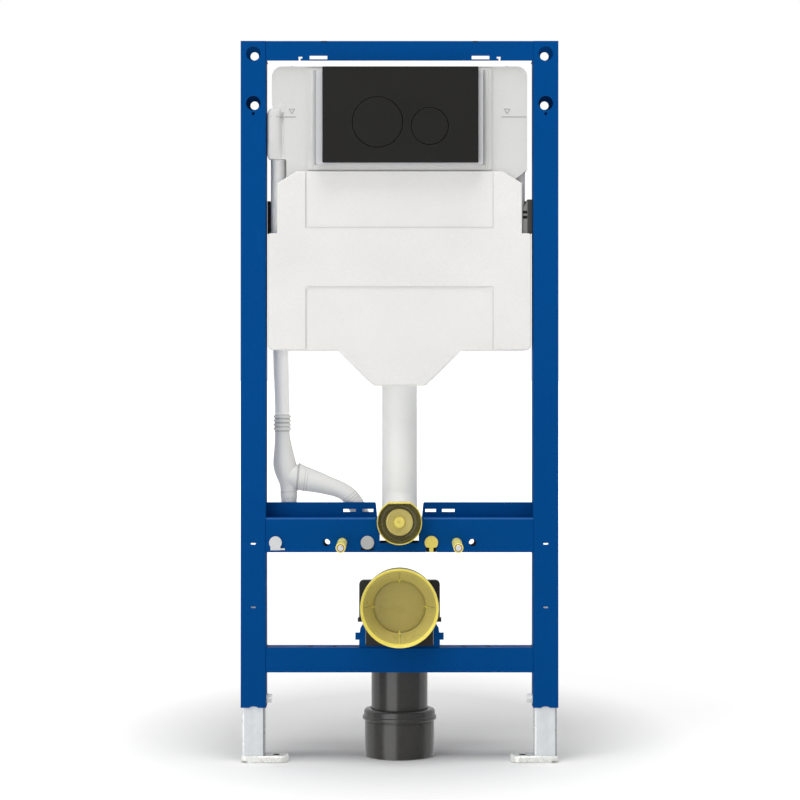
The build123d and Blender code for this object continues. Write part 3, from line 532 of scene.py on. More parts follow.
# matt surfaces get little light from the back, so that the shadow behind the object keeps its depth
back_level = wmath("SUBTRACT", 0.5, wmath("MULTIPLY", w_path.outputs["Is Diffuse Ray"], 0.45))
tent = wmath("ADD", wmath("MULTIPLY", panel, 1.45), wmath("ADD", wmath("MULTIPLY", back, back_level), 0.2))
w_val = wt.nodes.new("ShaderNodeMix")
w_val.data_type = "FLOAT"
wt.links.new(w_path.outputs["Is Camera Ray"], w_val.inputs[0])
wt.links.new(tent, w_val.inputs[2])
w_val.inputs[3].default_value = 1.0
w_bg = wnode("ShaderNodeBackground", Color=(1.0, 1.0, 1.0, 1.0))
wt.links.new(w_val.outputs[0], w_bg.inputs["Strength"])
w_out = wt.nodes.new("ShaderNodeOutputWorld")
wt.links.new(w_bg.outputs[0], w_out.inputs[0])

# ---------------------------------------------------------------- mesh helpers
FRONT = -40.0


def piece(name, verts, faces, mat, slot_name, body="root", smooth=True, angle=35.0, stands_for=()):
    """verts are (x, y, h) in millimetres."""
    me = bpy.data.meshes.new(name)
    me.from_pydata([tuple(P(*v)) for v in verts], [], faces)
    bm = bmesh.new()
    bm.from_mesh(me)
    bmesh.ops.remove_doubles(bm, verts=bm.verts, dist=1e-6)
    bmesh.ops.recalc_face_normals(bm, faces=bm.faces)
    bm.to_mesh(me)
    bm.free()
    me.update()
    ob = bpy.data.objects.new(name, me)
    scene.collection.objects.link(ob)
    me.materials.append(mat)
    if smooth:
        me.polygons.foreach_set("use_smooth", [True] * len(me.polygons))
        me.set_sharp_from_angle(angle=math.radians(angle))
    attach(ob, body)
    if stands_for:
        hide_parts(*stands_for)
    return ob


class Build:
    """Collects several closed shells into one piece."""

    def __init__(self):
        self.v = []
        self.f = []

    def add(self, verts, faces):
        n = len(self.v)
        self.v += [tuple(v) for v in verts]
        self.f += [tuple(i + n for i in f) for f in faces]
        return self

    def lathe(self, profile, origin, axis=(0, -1, 0), seg=96, closed=False, a0=0.0, a1=360.0):
        """profile: (radius, distance along the axis); a closed profile is a ring in section."""
        ax = Vector(axis).normalized()
        u = ax.orthogonal().normalized()
        w = ax.cross(u)
        o = Vector(origin)
        full = abs(a1 - a0) > 359.9
        cols = seg if full else seg + 1
        verts, faces = [], []
        for k in range(cols):
            t = math.radians(a0 + (a1 - a0) * k / seg)
            d = u * math.cos(t) + w * math.sin(t)
            for r, q in profile:
                verts.append(o + ax * q + d * max(r, 0.0001))
        m = len(profile)
        rows = m if closed else m - 1
        for k in range(seg):
            k2 = (k + 1) % cols
            for j in range(rows):
                j2 = (j + 1) % m
                faces.append((k * m + j, k2 * m + j, k2 * m + j2, k * m + j2))
        if not closed and full:
            faces.append(tuple(k * m for k in range(cols)))
            faces.append(tuple(k * m + m - 1 for k in range(cols)))
        if not full:
            faces.append(tuple(range(m)))
            faces.append(tuple((cols - 1) * m + j for j in range(m)))
        return self.add(verts, faces)

    def tube(self, path, radii, seg=24, squash=1.0):
        """A solid rod along a path of (x, y, h) points."""
        pts = [Vector(p) for p in path]
        if isinstance(radii, (int, float)):
            radii = [radii] * len(pts)
        verts, faces = [], []
        up = None
        for i, p in enumerate(pts):
            t = (pts[min(i + 1, len(pts) - 1)] - pts[max(i - 1, 0)]).normalized()
            if up is None:
                up = t.orthogonal().normalized()
            up = (up - t * up.dot(t)).normalized()
            side = t.cross(up)
            for k in range(seg):
                a = 2.0 * math.pi * k / seg
                verts.append(p + (up * math.cos(a) * squash + side * math.sin(a)) * radii[i])
        for i in range(len(pts) - 1):
            for k in range(seg):
                k2 = (k + 1) % seg
                faces.append((i * seg + k, i * seg + k2, (i + 1) * seg + k2, (i + 1) * seg + k))
        faces.append(tuple(range(seg)))
        faces.append(tuple((len(pts) - 1) * seg + k for k in range(seg)))
        return self.add(verts, faces)

    def plate(self, outline, y0, y1, bevel=0.0, plane="xh"):
        """A flat outline of (x, h) points between two depths, its front edges eased."""
        n = len(outline)
        cx = sum(p[0] for p in outline) / n
        ch = sum(p[1] for p in outline) / n

        def shrink(d):
            out = []
            for i in range(n):
                a, b, c = Vector(outline[i - 1]), Vector(outline[i]), Vector(outline[(i + 1) % n])
                e1, e2 = (b - a).normalized(), (c - b).normalized()
                n1, n2 = Vector((-e1.y, e1.x)), Vector((-e2.y, e2.x))
                m = n1 + n2
                k = max(m.length_squared, 0.3)
                out.append(b + m * (2.0 * d / k))
            return out

        area2 = sum(outline[i - 1][0] * outline[i][1] - outline[i][0] * outline[i - 1][1] for i in range(n))
        sgn = 1.0 if area2 > 0 else -1.0
        rings = []
        step = 1.0 if y1 > y0 else -1.0
        if bevel > 0:
            rings.append((shrink(sgn * bevel), y0))
            rings.append((shrink(sgn * bevel * 0.3), y0 + step * bevel * 0.3))
            rings.append((outline, y0 + step * bevel))
        else:
            rings.append((outline, y0))
        rings.append((outline, y1))
        verts, faces = [], []
        for ring, y in rings:
            for p in ring:
                if plane == "xh":
                    verts.append((p[0], y, p[1]))
                elif plane == "yh":
                    verts.append((y, p[0], p[1]))
                else:
                    verts.append((p[0], p[1], y))
        for j in range(len(rings) - 1):
            for i in range(n):
                i2 = (i + 1) % n
                faces.append((j * n + i, j * n + i2, (j + 1) * n + i2, (j + 1) * n + i))
        faces.append(tuple(range(n)))
        faces.append(tuple((len(rings) - 1) * n + i for i in range(n)))
        return self.add(verts, faces)

    def done(self, name, mat, slot_name, **kw):
        return piece(name, self.v, self.f, mat, slot_name, **kw)


def rounded(x0, x1, h0, h1, r, steps=5):
    out = []
    for cx, ch, a in ((x1 - r, h1 - r, 0), (x0 + r, h1 - r, 90), (x0 + r, h0 + r, 180), (x1 - r, h0 + r, 270)):
        for k in range(steps + 1):
            t = math.radians(a + 90.0 * k / steps)
            out.append((cx + r * math.cos(t), ch + r * math.sin(t)))
    return out


def circle(cx, ch, r, n=64, cut_top=None, cut_bottom=None):
    out = []
    for k in range(n):
        t = 2.0 * math.pi * k / n
        x, h = cx + r * math.cos(t), ch + r * math.sin(t)
        if cut_top is not None:
            h = min(h, cut_top)
        if cut_bottom is not None:
            h = max(h, cut_bottom)
        out.append((x, h))
    return out


def ease_up(t):
    """Quarter-circle rise from 0 to 1."""
    t = max(0.0, min(1.0, t))
    return math.sqrt(1.0 - (1.0 - t) * (1.0 - t))


def px(x, y, depth=0.0):
    """Photograph position (800 x 800) of a point that lies depth millimetres behind the front plane."""
    k = 1.572 * (1.0 + depth / 3900.0)
    return ((x - 399.1) * k, 625.4 - (y - 365.0) * k)


# edges of pressed and moulded CAD nodes are eased
def ease(name, width, segs=3, angle=40.0):
    ob = nodes[name]
    d = ob.modifiers.new("tidy", "DECIMATE")
    d.decimate_type = "DISSOLVE"
    d.angle_limit = math.radians(0.6)
    m = ob.modifiers.new("ease", "BEVEL")
    m.width = width
    m.segments = segs
    m.limit_method = "ANGLE"
    m.angle_limit = math.radians(angle)
    m.harden_normals = True
    ob.data.polygons.foreach_set("use_smooth", [True] * len(ob.data.polygons))
    return ob


ease("insulation_cover", 0.0022)
for name in ("lower_rail", "top_rail"):
    ease(name, 0.0009, 2)

# ---------------------------------------------------------------- yellow cap over the flush bend
HF = 380.3
b = Build()
ring_out = circle(0, HF, 35.3, 128, cut_top=HF + 31.6)
ring_mid = circle(0, HF, 33.9, 128, cut_top=HF + 29.4)
ring_in = circle(0, HF, 33.2, 128, cut_top=HF + 28.4)
ring_deep = circle(0, HF, 29.8, 128, cut_top=HF + 26.0)


def shell(rings):
    verts, faces = [], []
    n = len(rings[0][0])
    for ring, y in rings:
        verts += [(q[0], y, q[1]) for q in ring]
    for j in range(len(rings)):
        j2 = (j + 1) % len(rings)
        for i in range(n):
            i2 = (i + 1) % n
            faces.append((j * n + i, j * n + i2, j2 * n + i2, j2 * n + i))
    return verts, faces


b.add(*shell([(circle(0, HF, 34.6, 128, cut_top=HF + 31.0), -41.0), (ring_out, -42.5), (ring_out, -68.2), (circle(0, HF, 35.0, 128, cut_top=HF + 31.3), -69.3),
              (circle(0, HF, 34.4, 128, cut_top=HF + 30.4), -69.8), (ring_mid, -69.3), (circle(0, HF, 33.6, 128, cut_top=HF + 29.0), -67.8),
              (circle(0, HF, 33.4, 128, cut_top=HF + 28.6), -45.0), (circle(0, HF, 32.6, 128, cut_top=HF + 28.0), -41.2)]))
b.done("flush_cap_collar", M_YEL, "yellow_plastic", stands_for=("flush_cap",))
# the cap's hollow in a much darker copy of its yellow: painted shade inside the cap
b = Build()
b.add(*shell([(circle(0, HF, 33.3, 128, cut_top=HF + 28.5), -67.2), (circle(0, HF, 32.4, 128, cut_top=HF + 28.0), -64.0),
              (circle(0, HF, 30.6, 128, cut_top=HF + 27.2), -59.6), (circle(0, HF, 28.9, 128, cut_top=HF + 26.4), -58.4),
              (circle(0, HF, 26.6, 128), -58.9), (circle(0, HF - 0.6, 24.2, 128), -57.6), (circle(0, HF, 21.9, 128), -57.6),
              (circle(0, HF, 21.9, 128), -56.4), (circle(0, HF, 31.2, 128, cut_top=HF + 27.6), -56.4),
              (circle(0, HF, 33.35, 128, cut_top=HF + 28.55), -60.0)]))
b.done("flush_cap_hollow_shade", M_YCAP_SHADE, "yellow_plastic")
b = Build()
b.lathe([(0.0, 11.0), (9.4, 11.0), (9.6, 10.8), (10.6, 11.1), (17.5, 11.9), (19.8, 12.1), (20.9, 11.7), (21.35, 10.7), (21.4, 9.4),
         (21.6, 6.0), (0.0, 6.0)], (0, -50.6, HF), seg=96)
for k in range(3):
    b.lathe([(12.2 + 2.6 * k, 11.2 + 0.3 * k), (12.5 + 2.6 * k, 11.6 + 0.3 * k), (12.9 + 2.6 * k, 11.65 + 0.3 * k), (13.2 + 2.6 * k, 11.2 + 0.3 * k)],
            (0, -50.6, HF), seg=96, closed=True)
b.done("flush_cap_button", M_YBTN, "yellow_plastic")
b = Build()
b.lathe([(0.0, 13.9), (1.1, 13.9), (1.5, 14.6), (2.2, 14.9), (7.0, 15.1), (8.2, 14.8), (8.8, 14.0), (8.95, 10.9), (0.0, 10.9)], (0, -50.6, HF), seg=96)
b.done("flush_cap_pin", M_YEL, "yellow_plastic")

# ---------------------------------------------------------------- yellow plug of the waste bend
HW = 247.0
b = Build()
# thin rim in a brighter yellow, a painted highlight, thicker towards the foot where the wall is seen from above
rim = []
N = 160
for k in range(N):
    t = 2.0 * math.pi * k / N
    low = max(0.0, -math.sin(t)) ** 1.2
    side = abs(math.cos(t)) ** 3
    rim.append((t, 58.9 - 3.3 * low - 1.5 * side))
verts, faces = [], []
for t, ri in rim:
    c, q = math.cos(t), math.sin(t)
    for r, y in ((61.4, -66.0), (61.4, -83.4), (61.0, -84.6), (60.3, -85.0), (59.6, -84.4), (ri, -83.0), (ri - 0.6, -80.8), (ri, -78.0), (59.2, -66.0)):
        verts.append((r * c, y, HW + r * q))
for k in range(N):
    k2 = (k + 1) % N
    for j in range(9):
        j2 = (j + 1) % 9
        faces.append((k * 9 + j, k2 * 9 + j, k2 * 9 + j2, k * 9 + j2))
b.add(verts, faces)
b.done("waste_plug_rim", M_YHIGHLIGHT, "yellow_plastic", stands_for=("waste_plug",))
# the cone and the disc in darker copies of the same yellow: painted shade in the plug's dish
b = Build()
b.lathe([(59.1, 35.4), (58.3, 34.2), (43.4, 6.0), (42.4, 4.4), (41.3, 3.6), (41.3, 1.4), (43.6, 2.0), (59.1, 31.6)],
        (0, -46.6, HW), seg=128, closed=True)
b.done("waste_plug_cone", M_YCONE_SHADE, "yellow_plastic")
b = Build()
b.lathe([(0.0, 1.3), (30.0, 1.1), (38.0, 0.9), (40.4, 0.4), (41.5, -0.2), (41.5, -1.4), (0.0, -1.4)], (0, -46.6, HW), seg=128)
b.done("waste_plug_disc", M_YDISC_SHADE, "yellow_plastic")
b = Build()
# four ribs with small cross nubs, in the brighter yellow of the rim: painted highlight
for ang in (0, 90, 180, 270):
    c, q = math.cos(math.radians(ang)), math.sin(math.radians(ang))

    def spin(r, y, w):
        return (r * c - w * q, y, HW + r * q + w * c)

    far = 1.0 if ang == 270 else 0.28
    prof = [(37.6, -47.0), (37.6, -48.6), (40.6, -49.6), (42.6, -51.4), (42.6 + 14.8 * far, -51.4 - 27.8 * far),
            (43.6 + 14.4 * far, -50.8 - 27.6 * far), (43.6 + 14.4 * far, -48.6 - 27.0 * far), (43.6, -47.6)]
    vs = [spin(r, y, -0.55) for r, y in prof] + [spin(r, y, 0.55) for r, y in prof]
    m = len(prof)
    fs = [tuple(range(m)), tuple(range(m, 2 * m))] + [(j, (j + 1) % m, m + (j + 1) % m, m + j) for j in range(m)]
    b.add(vs, fs)
    prof = [(40.8, -47.4), (40.8, -51.2), (42.2, -52.2), (43.4, -51.2), (43.4, -47.4)]
    vs = [spin(r, y, -1.9) for r, y in prof] + [spin(r, y, 1.9) for r, y in prof]
    m = len(prof)
    fs = [tuple(range(m)), tuple(range(m, 2 * m))] + [(j, (j + 1) % m, m + (j + 1) % m, m + j) for j in range(m)]
    b.add(vs, fs)
b.done("waste_plug_ribs", M_YHIGHLIGHT, "yellow_plastic")
# darker yellow strips beside the ribs: painted shadow of the ribs
b = Build()
for ang, off in ((0, 0.9), (180, -0.9), (90, 0.0), (270, 1.0)):
    c, q = math.cos(math.radians(ang)), math.sin(math.radians(ang))
    prof = [(41.6, -49.2), (42.4, -51.8), (57.2, -78.6), (57.8, -77.6), (42.8, -48.6)]
    vs = [spin(r, y, off - 0.5) for r, y in prof] + [spin(r, y, off + 0.5) for r, y in prof]
    m = len(prof)
    b.add(vs, [tuple(range(m)), tuple(range(m, 2 * m))] + [(j, (j + 1) % m, m + (j + 1) % m, m + j) for j in range(m)])
b.done("waste_plug_rib_shadows", M_YLINE, "yellow_plastic")

# ---------------------------------------------------------------- sleeve at the foot of the black drain pipe
b = Build()
b.lathe([(45.4, 70.5), (46.0, 75.2), (47.0, 76.4), (52.0, 76.3), (54.6, 75.4), (56.3, 73.6), (57.0, 71.4), (57.2, 66.6), (57.4, 65.7), (58.6, 65.0),
         (59.3, 63.6), (59.39, 62.0), (59.3, 60.6), (58.7, 59.5), (57.6, 58.9), (56.1, 58.6), (55.9, 57.9), (55.1, 57.5), (55.0, 56.4), (55.5, 55.8), (55.6, 54.0),
         (55.6, 30.0), (55.6, 8.0), (55.5, 2.0), (55.2, 0.8), (54.2, 0.3), (51.4, 0.4), (50.8, 1.6), (50.4, 30.0), (50.2, 66.0), (48.0, 69.5)],
        (0, 40, 0), axis=(0, 0, 1), seg=160, closed=True)
b.done("waste_adaptor_sleeve", M_PE, "black_pipe_plastic", stands_for=("waste_adaptor",))

# ---------------------------------------------------------------- tank: level marks, painted shade in the gap round the service opening, ledges, filler domes
b = Build()
yt = -32.5
yc = -36.0
for x0, x1 in ((-180.5, -163.0), (160.4, 200.2)):
    b.plate(rounded(x0, x1, 1016.5, 1017.8, 0.6, 3), yt - 0.55, yt + 0.4, 0.25)
b.plate(rounded(-203.0, -190.5, 1016.5, 1017.8, 0.5, 3), -36.95, -35.0, 0.2)
b.plate(rounded(-191.0, -181.9, 1016.5, 1017.8, 0.5, 3), -35.4, -30.0, 0.2)
for cx in (-169.6, 169.6):
    for (xa, ha), (xb, hb) in (((-4.6, 1029.4), (4.6, 1029.4)), ((4.6, 1029.4), (0.0, 1022.2)), ((0.0, 1022.2), (-4.6, 1029.4))):
        d = Vector((xb - xa, hb - ha)).normalized() * 0.45
        n = Vector((-d.y, d.x))
        b.plate([(cx + xa - n.x, ha - n.y), (cx + xb - n.x, hb - n.y), (cx + xb + n.x, hb + n.y), (cx + xa + n.x, ha + n.y)],
                yt - 0.5, yt + 0.4, 0.12)
b.done("tank_level_marks", M_MARK_AND_GAP_SHADE, "grey_tank_plastic")
# darker strips round the service opening: painted shade of the gap
b = Build()
for side in (-1, 1):
    xa, xb = sorted((side * 131.6, side * 133.9))
    b.plate([(xa, 941.2), (xb, 941.2), (xb, 1090.2), (xa, 1090.2)], yc - 0.4, yc + 0.9, 0.2)
b.plate([(-133.9, 941.2), (133.9, 941.2), (133.9, 943.2), (-133.9, 943.2)], yc - 0.45, yc + 0.9, 0.2)
b.done("tank_opening_gap_shade", M_MARK_AND_GAP_SHADE, "grey_tank_plastic")
b = Build()
for side in (-1, 1):
    xa, xb = sorted((side * 135.4, side * 139.6))
    b.plate([(xa, 936.6), (xb, 936.6), (xb, 1089.0), (xa, 1089.0)], yc - 0.9, yc + 0.9, 0.8)
    b.lathe([(0.0, -9.0), (3.6, -9.0), (5.0, -8.2), (5.7, -6.0), (5.8, 20.0), (5.4, 23.0), (4.4, 24.0), (0.0, 24.0)],
            (side * 169.8, -19.5, 1092.2), axis=(0, 1, 0), seg=40)
b.done("tank_ledges", M_TANK, "grey_tank_plastic")
# conduit head: rounded moulding that runs into the face of the tank, with the closed end of its recess
b = Build()
b.plate(rounded(-199.9, -180.4, 1024.0, 1039.2, 1.2, 4), -32.72, 12.0, 0.2)
b.plate([(-175.2, 900.0), (-178.3, 900.0), (-178.3, 946.5), (-178.7, 948.6), (-180.0, 950.2), (-182.4, 951.0), (-182.4, 951.6), (-175.2, 951.6)],
        -32.66, -10.0, 0.15)
b.done("conduit_head_web", M_TANK, "grey_tank_plastic")
sect = [(-205.5, -3.0), (-208.2, -4.5), (-208.8, -7.5), (-208.8, -26.5)]
sect += [(-200.6 - 8.2 * math.cos(math.radians(a)), -28.6 - 8.4 * math.sin(math.radians(a))) for a in range(10, 91, 10)]
sect += [(-197.6, -37.1), (-194.6, -37.0), (-192.2, -36.6), (-190.2, -35.8), (-188.4, -34.4), (-187.0, -32.6), (-185.8, -30.9),
         (-184.6, -30.2), (-183.4, -30.4), (-182.4, -31.4), (-181.6, -32.4), (-181.0, -32.66), (-180.4, -32.3), (-181.5, -20.0), (-183.0, -4.5), (-185.5, -3.0)]
levels = [950.6, 951.4, 953.0, 955.4, 958.6, 962.0, 968.0, 973.6, 975.0, 976.6, 985.0, 1000.0, 1015.0, 1019.6, 1022.0, 1024.2,
          1026.2, 1027.8, 1029.0, 1029.8, 1030.3]
verts, faces = [], []
for h in levels:
    low = 1.0 - ease_up((h - 950.6) / 8.5)
    top = 1.0 - ease_up((1030.5 - h) / 11.0)
    for x, y in sect:
        if y < -32.7:
            front = (-32.7 - y)
            front *= 1.0 - top
            if h < 976.0:
                front -= 2.9 * min(1.0, (976.0 - h) / 17.0) * (front / 4.4)
            front *= 1.0 - 0.75 * low
            y = -32.7 - front
        elif y < -30.0:
            y = -32.7 + (y + 32.7) * (1.0 - top) * (1.0 - 0.6 * low)
        lean = max(0.0, min(1.0, (-192.0 - x) / 14.0))
        x += lean * (8.0 * top + 5.0 * low)
        verts.append((x, y, h))
m = len(sect)
for j in range(len(levels) - 1):
    for i in range(m):
        i2 = (i + 1) % m
        faces.append((j * m + i, j * m + i2, (j + 1) * m + i2, (j + 1) * m + i))
faces.append(tuple(range(m)))
faces.append(tuple((len(levels) - 1) * m + i for i in range(m)))
b = Build()
b.add(verts, faces)
b.done("conduit_head_moulding", M_TANK, "grey_tank_plastic", stands_for=("conduit_head",))
# a darker strip along the head's left corner: painted shade of its side turning away
b = Build()
b.tube([(-206.2, -27.4, 953.6), (-207.6, -27.4, 956.4), (-208.1, -27.4, 960.0), (-208.1, -27.4, 1018.5), (-207.2, -27.4, 1022.0), (-205.4, -27.4, 1024.6)],
       [0.5, 0.9, 1.05, 1.05, 0.9, 0.5], 20)
b.done("conduit_head_side_shade", M_HEAD_SIDE_SHADE, "grey_tank_plastic")

# ---------------------------------------------------------------- foam cover: darker lines along the edges of the two panels, painted shade of their raised edges
b = Build()
yf = -42.0
for side in (-1, 1):
    x = side * 147.4
    w = 0.45 if side > 0 else 0.16
    b.plate([(x - w, 842.0), (x + w, 842.0), (x + w, 928.0), (x - w, 928.0)], yf - (0.30 if side > 0 else 0.12), yf + 0.8, min(0.15, 0.5 * w))
    b.plate([(x - 0.45, 651.5), (x + 0.45, 651.5), (x + 0.45, 749.6), (x - 0.45, 749.6)], yf - 0.30, yf + 0.8, 0.15)
b.plate([(-147.4, 841.5), (147.4, 841.5), (147.4, 842.4), (-147.4, 842.4)], yf - 0.30, yf + 0.8, 0.15)
b.plate([(-147.4, 749.3), (147.4, 749.3), (147.4, 750.2), (-147.4, 750.2)], yf - 0.30, yf + 0.8, 0.15)
b.done("cover_panel_edge_shade", M_PANEL_EDGE_SHADE, "white_foam")

# ---------------------------------------------------------------- middle rail: painted highlight strip along its fold, painted shade in its cut-outs
# a lighter blue strip along the rounded fold: painted highlight
b = Build()
for xa, xb in ((-210.0, -38.2), (38.4, 210.0)):
    prof = [(-39.95, 383.4), (-40.12, 383.9), (-39.75, 384.8), (-39.0, 385.45), (-37.8, 385.8), (-36.8, 385.6)]
    vs = [(xa, y, h) for y, h in prof] + [(xb, y, h) for y, h in prof]
    m = len(prof)
    fs = [tuple(range(m)), tuple(range(m, 2 * m))] + [(j, (j + 1) % m, m + (j + 1) % m, m + j) for j in range(m)]
    b.add(vs, fs)
b.done("middle_rail_fold_highlight", M_FOLD_HIGHLIGHT, "blue_powder_coat")
# near-black liners in the notches, the slit, the cut-out and the round holes: painted shade
b = Build()
b.plate(rounded(41.6, 57.6, 331.9, 341.0, 1.0, 3), -38.6, -26.0, 0.5)
b.plate([(-62.8, 336.4), (-60.0, 335.2), (-42.0, 335.2), (-39.2, 336.4), (-43.0, 337.8), (-59.0, 337.8)], -40.35, -38.6, 0.15)
b.plate(rounded(-31.1, 30.0, 342.6, 349.4, 1.2, 3), -30.0, -26.0, 0.6)
for side in (-1, 1):
    cx, ch = side * 115.0, 346.8
    outer = [(cx + 5.7 * math.cos(math.radians(a)) * side, ch + 5.7 * math.sin(math.radians(a))) for a in range(-110, 81, 10)]
    inner = [(cx - side * 2.2 + 4.5 * math.cos(math.radians(a)) * side, ch + 1.9 + 4.5 * math.sin(math.radians(a))) for a in range(60, -91, -10)]
    b.plate(outer + inner, -37.0, -31.0, 0.0)
b.done("middle_rail_shade_liners", M_PAINTED_SHADE, "black_plastic")
# near-black inserts in the notches on the top rail's upper edge: painted shade
b = Build()
for xa, xb in ((-123.9, -114.0), (114.2, 123.6)):
    b.plate(rounded(xa, xb, 1134.1, 1135.9, 0.7, 3), -40.15, -36.0, 0.1)
b.done("top_rail_notch_shade", M_PAINTED_SHADE, "black_plastic")

# ---------------------------------------------------------------- ends of the pan rods
for side, tag in ((-1, "left"), (1, "right")):
    b = Build()
    for k in range(9):
        b.lathe([(5.7, 0.0), (6.25, 0.5), (6.25, 0.8), (5.7, 1.3)], (side * 90.0, 14.6 - 1.6 * k + 3.0, 346.8), seg=40, closed=True)
    b.done(tag + "_stud_thread", M_RODEND, "zinc_plated_steel")
    b = Build()
    b.lathe([(0.0, 0.0), (4.0, 0.0), (4.55, 0.5), (4.65, 3.0), (6.0, 4.2), (6.0, 174.1), (5.3, 174.9), (0.0, 174.9)],
            (side * 90.0, -156.96, 346.8), axis=(0, 1, 0), seg=72)
    b.done(tag + "_stud_rod", M_RODTIP, "zinc_plated_steel", stands_for=(tag + "_pan_stud",))
    b = Build()
    b.lathe([(4.7, -1.2), (4.7, 1.7), (5.2, 2.0), (5.85, 1.7), (5.85, -1.2)], (side * 90.0, -154.6, 346.8), seg=64, closed=True)
    b.done(tag + "_sleeve_seal", M_BROWN, "yellow_plastic")
    b = Build()
    b.lathe([(6.02, -0.6), (5.88, 0.4), (5.88, 1.8), (6.2, 2.2), (6.9, 2.1), (7.45, 1.5), (7.59, 0.6), (7.59, -0.6)], (side * 90.0, -154.4, 346.8), seg=64, closed=True)
    for k in range(6):
        b.lathe([(7.3, 0.0), (7.59, 0.25), (7.59, 0.55), (7.3, 0.8)], (side * 90.0, -141.0 + 2.4 * k, 346.8), seg=48, closed=True)
    b.done(tag + "_sleeve_rings", M_SLEEVE, "yellow_plastic")

# ---------------------------------------------------------------- feet: pressed plates with turned-down lips
def convex_reach(outline, cx, cy, t):
    """Distance from a point inside a convex outline to its edge, in direction t."""
    dx, dy = math.cos(t), math.sin(t)
    best = 1e9
    n = len(outline)
    for i in range(n):
        (ax, ay), (bx, by) = outline[i], outline[(i + 1) % n]
        ex, ey = bx - ax, by - ay
        den = dx * ey - dy * ex
        if abs(den) < 1e-12:
            continue
        u = ((ax - cx) * ey - (ay - cy) * ex) / den
        v = ((ax - cx) * dy - (ay - cy) * dx) / den
        if u > 0 and -1e-9 <= v <= 1 + 1e-9:
            best = min(best, u)
    return best


for side, tag in ((-1, "left"), (1, "right")):
    outline = []
    for cx, cy, r, a in ((188.4, -27.0, 13.0, 180), (188.4, -13.0, 13.0, 90), (244.6, -5.2, 5.0, 0), (244.6, -34.8, 5.0, -90)):
        ring = [(cx + r * math.cos(math.radians(a + 90.0 * k / 8)), cy + r * math.sin(math.radians(a + 90.0 * k / 8))) for k in range(9)]
        outline.append(ring)
    order = outline[0] + outline[3] + outline[2] + outline[1]
    hx, hy, n = 194.5, -20.0, 180
    verts = []
    for k in range(n):
        t = 2.0 * math.pi * k / n
        r0 = convex_reach(order, hx, hy, t)
        c, q = math.cos(t), math.sin(t)
        low = 0.7
        xe = hx + r0 * c
        if xe > 226.0:
            low = 0.7 + 2.9 * min(1.0, (xe - 226.0) / 12.0)
        prof = [(r0 - 0.4, low), (r0, low + 0.7), (r0, 8.3), (r0 - 0.5, 9.6), (r0 - 1.6, 10.45), (r0 - 3.2, 10.69),
                (7.0, 10.69), (6.0, 10.3), (5.5, 9.6), (5.5, 6.9), (r0 - 5.4, 6.9), (r0 - 4.0, 6.2), (r0 - 3.4, 5.0), (r0 - 3.2, low)]
        for r, h in prof:
            verts.append((side * (hx + r * c), hy + r * q, h))
    m = len(prof)
    faces = [(k * m + j, ((k + 1) % n) * m + j, ((k + 1) % n) * m + (j + 1) % m, k * m + (j + 1) % m) for k in range(n) for j in range(m)]
    b = Build()
    b.add(verts, faces)
    xa, xb = sorted((side * 227.0, side * 239.6))
    b.plate(rounded(xa, xb, 0.02, 7.4, 1.6, 3), -39.4, -1.2, 0.8)
    xa, xb = sorted((side * 206.0, side * 209.4))
    b.plate([(xa, 10.6), (xb, 10.6), (xb, 10.69), (xa, 10.69)], -37.0, -4.0, 0.0)
    # the top face as a thin darker zinc sheet: painted shade
    top = [(side * (hx + (convex_reach(order, hx, hy, 2.0 * math.pi * k / 120) - 3.4) * math.cos(2.0 * math.pi * k / 120)),
            hy + (convex_reach(order, hx, hy, 2.0 * math.pi * k / 120) - 3.4) * math.sin(2.0 * math.pi * k / 120)) for k in range(120)]
    hole = [(side * (hx + 6.0 * math.cos(2.0 * math.pi * k / 120)), hy + 6.0 * math.sin(2.0 * math.pi * k / 120)) for k in range(120)]
    t = Build()
    vs = [(x, y, 10.66) for x, y in hole + top] + [(x, y, 10.74) for x, y in hole + top]
    fs = []
    for k in range(120):
        k2 = (k + 1) % 120
        fs += [(k, k2, 120 + k2, 120 + k), (240 + k, 240 + k2, 360 + k2, 360 + k), (k, k2, 240 + k2, 240 + k), (120 + k, 120 + k2, 360 + k2, 360 + k)]
    t.add(vs, fs)
    t.done(tag + "_foot_top_shade", M_FOOT_TOP_SHADE, "zinc_plated_steel", body=tag + "_leg_body")
    # dark lining in the foot's hole: painted shade
    t = Build()
    t.lathe([(5.42, 7.2), (5.42, 9.9), (5.6, 10.5), (5.9, 10.76), (6.1, 10.6), (5.9, 10.2), (5.6, 9.6), (5.6, 7.2)],
            (side * hx, hy, 0), axis=(0, 0, 1), seg=64, closed=True)
    t.done(tag + "_foot_hole_shade", M_PAINTED_SHADE, "zinc_plated_steel", body=tag + "_leg_body")
    b.done(tag + "_foot_pressing", M_FOOT, "zinc_plated_steel", body=tag + "_leg_body", stands_for=(tag + "_foot",))

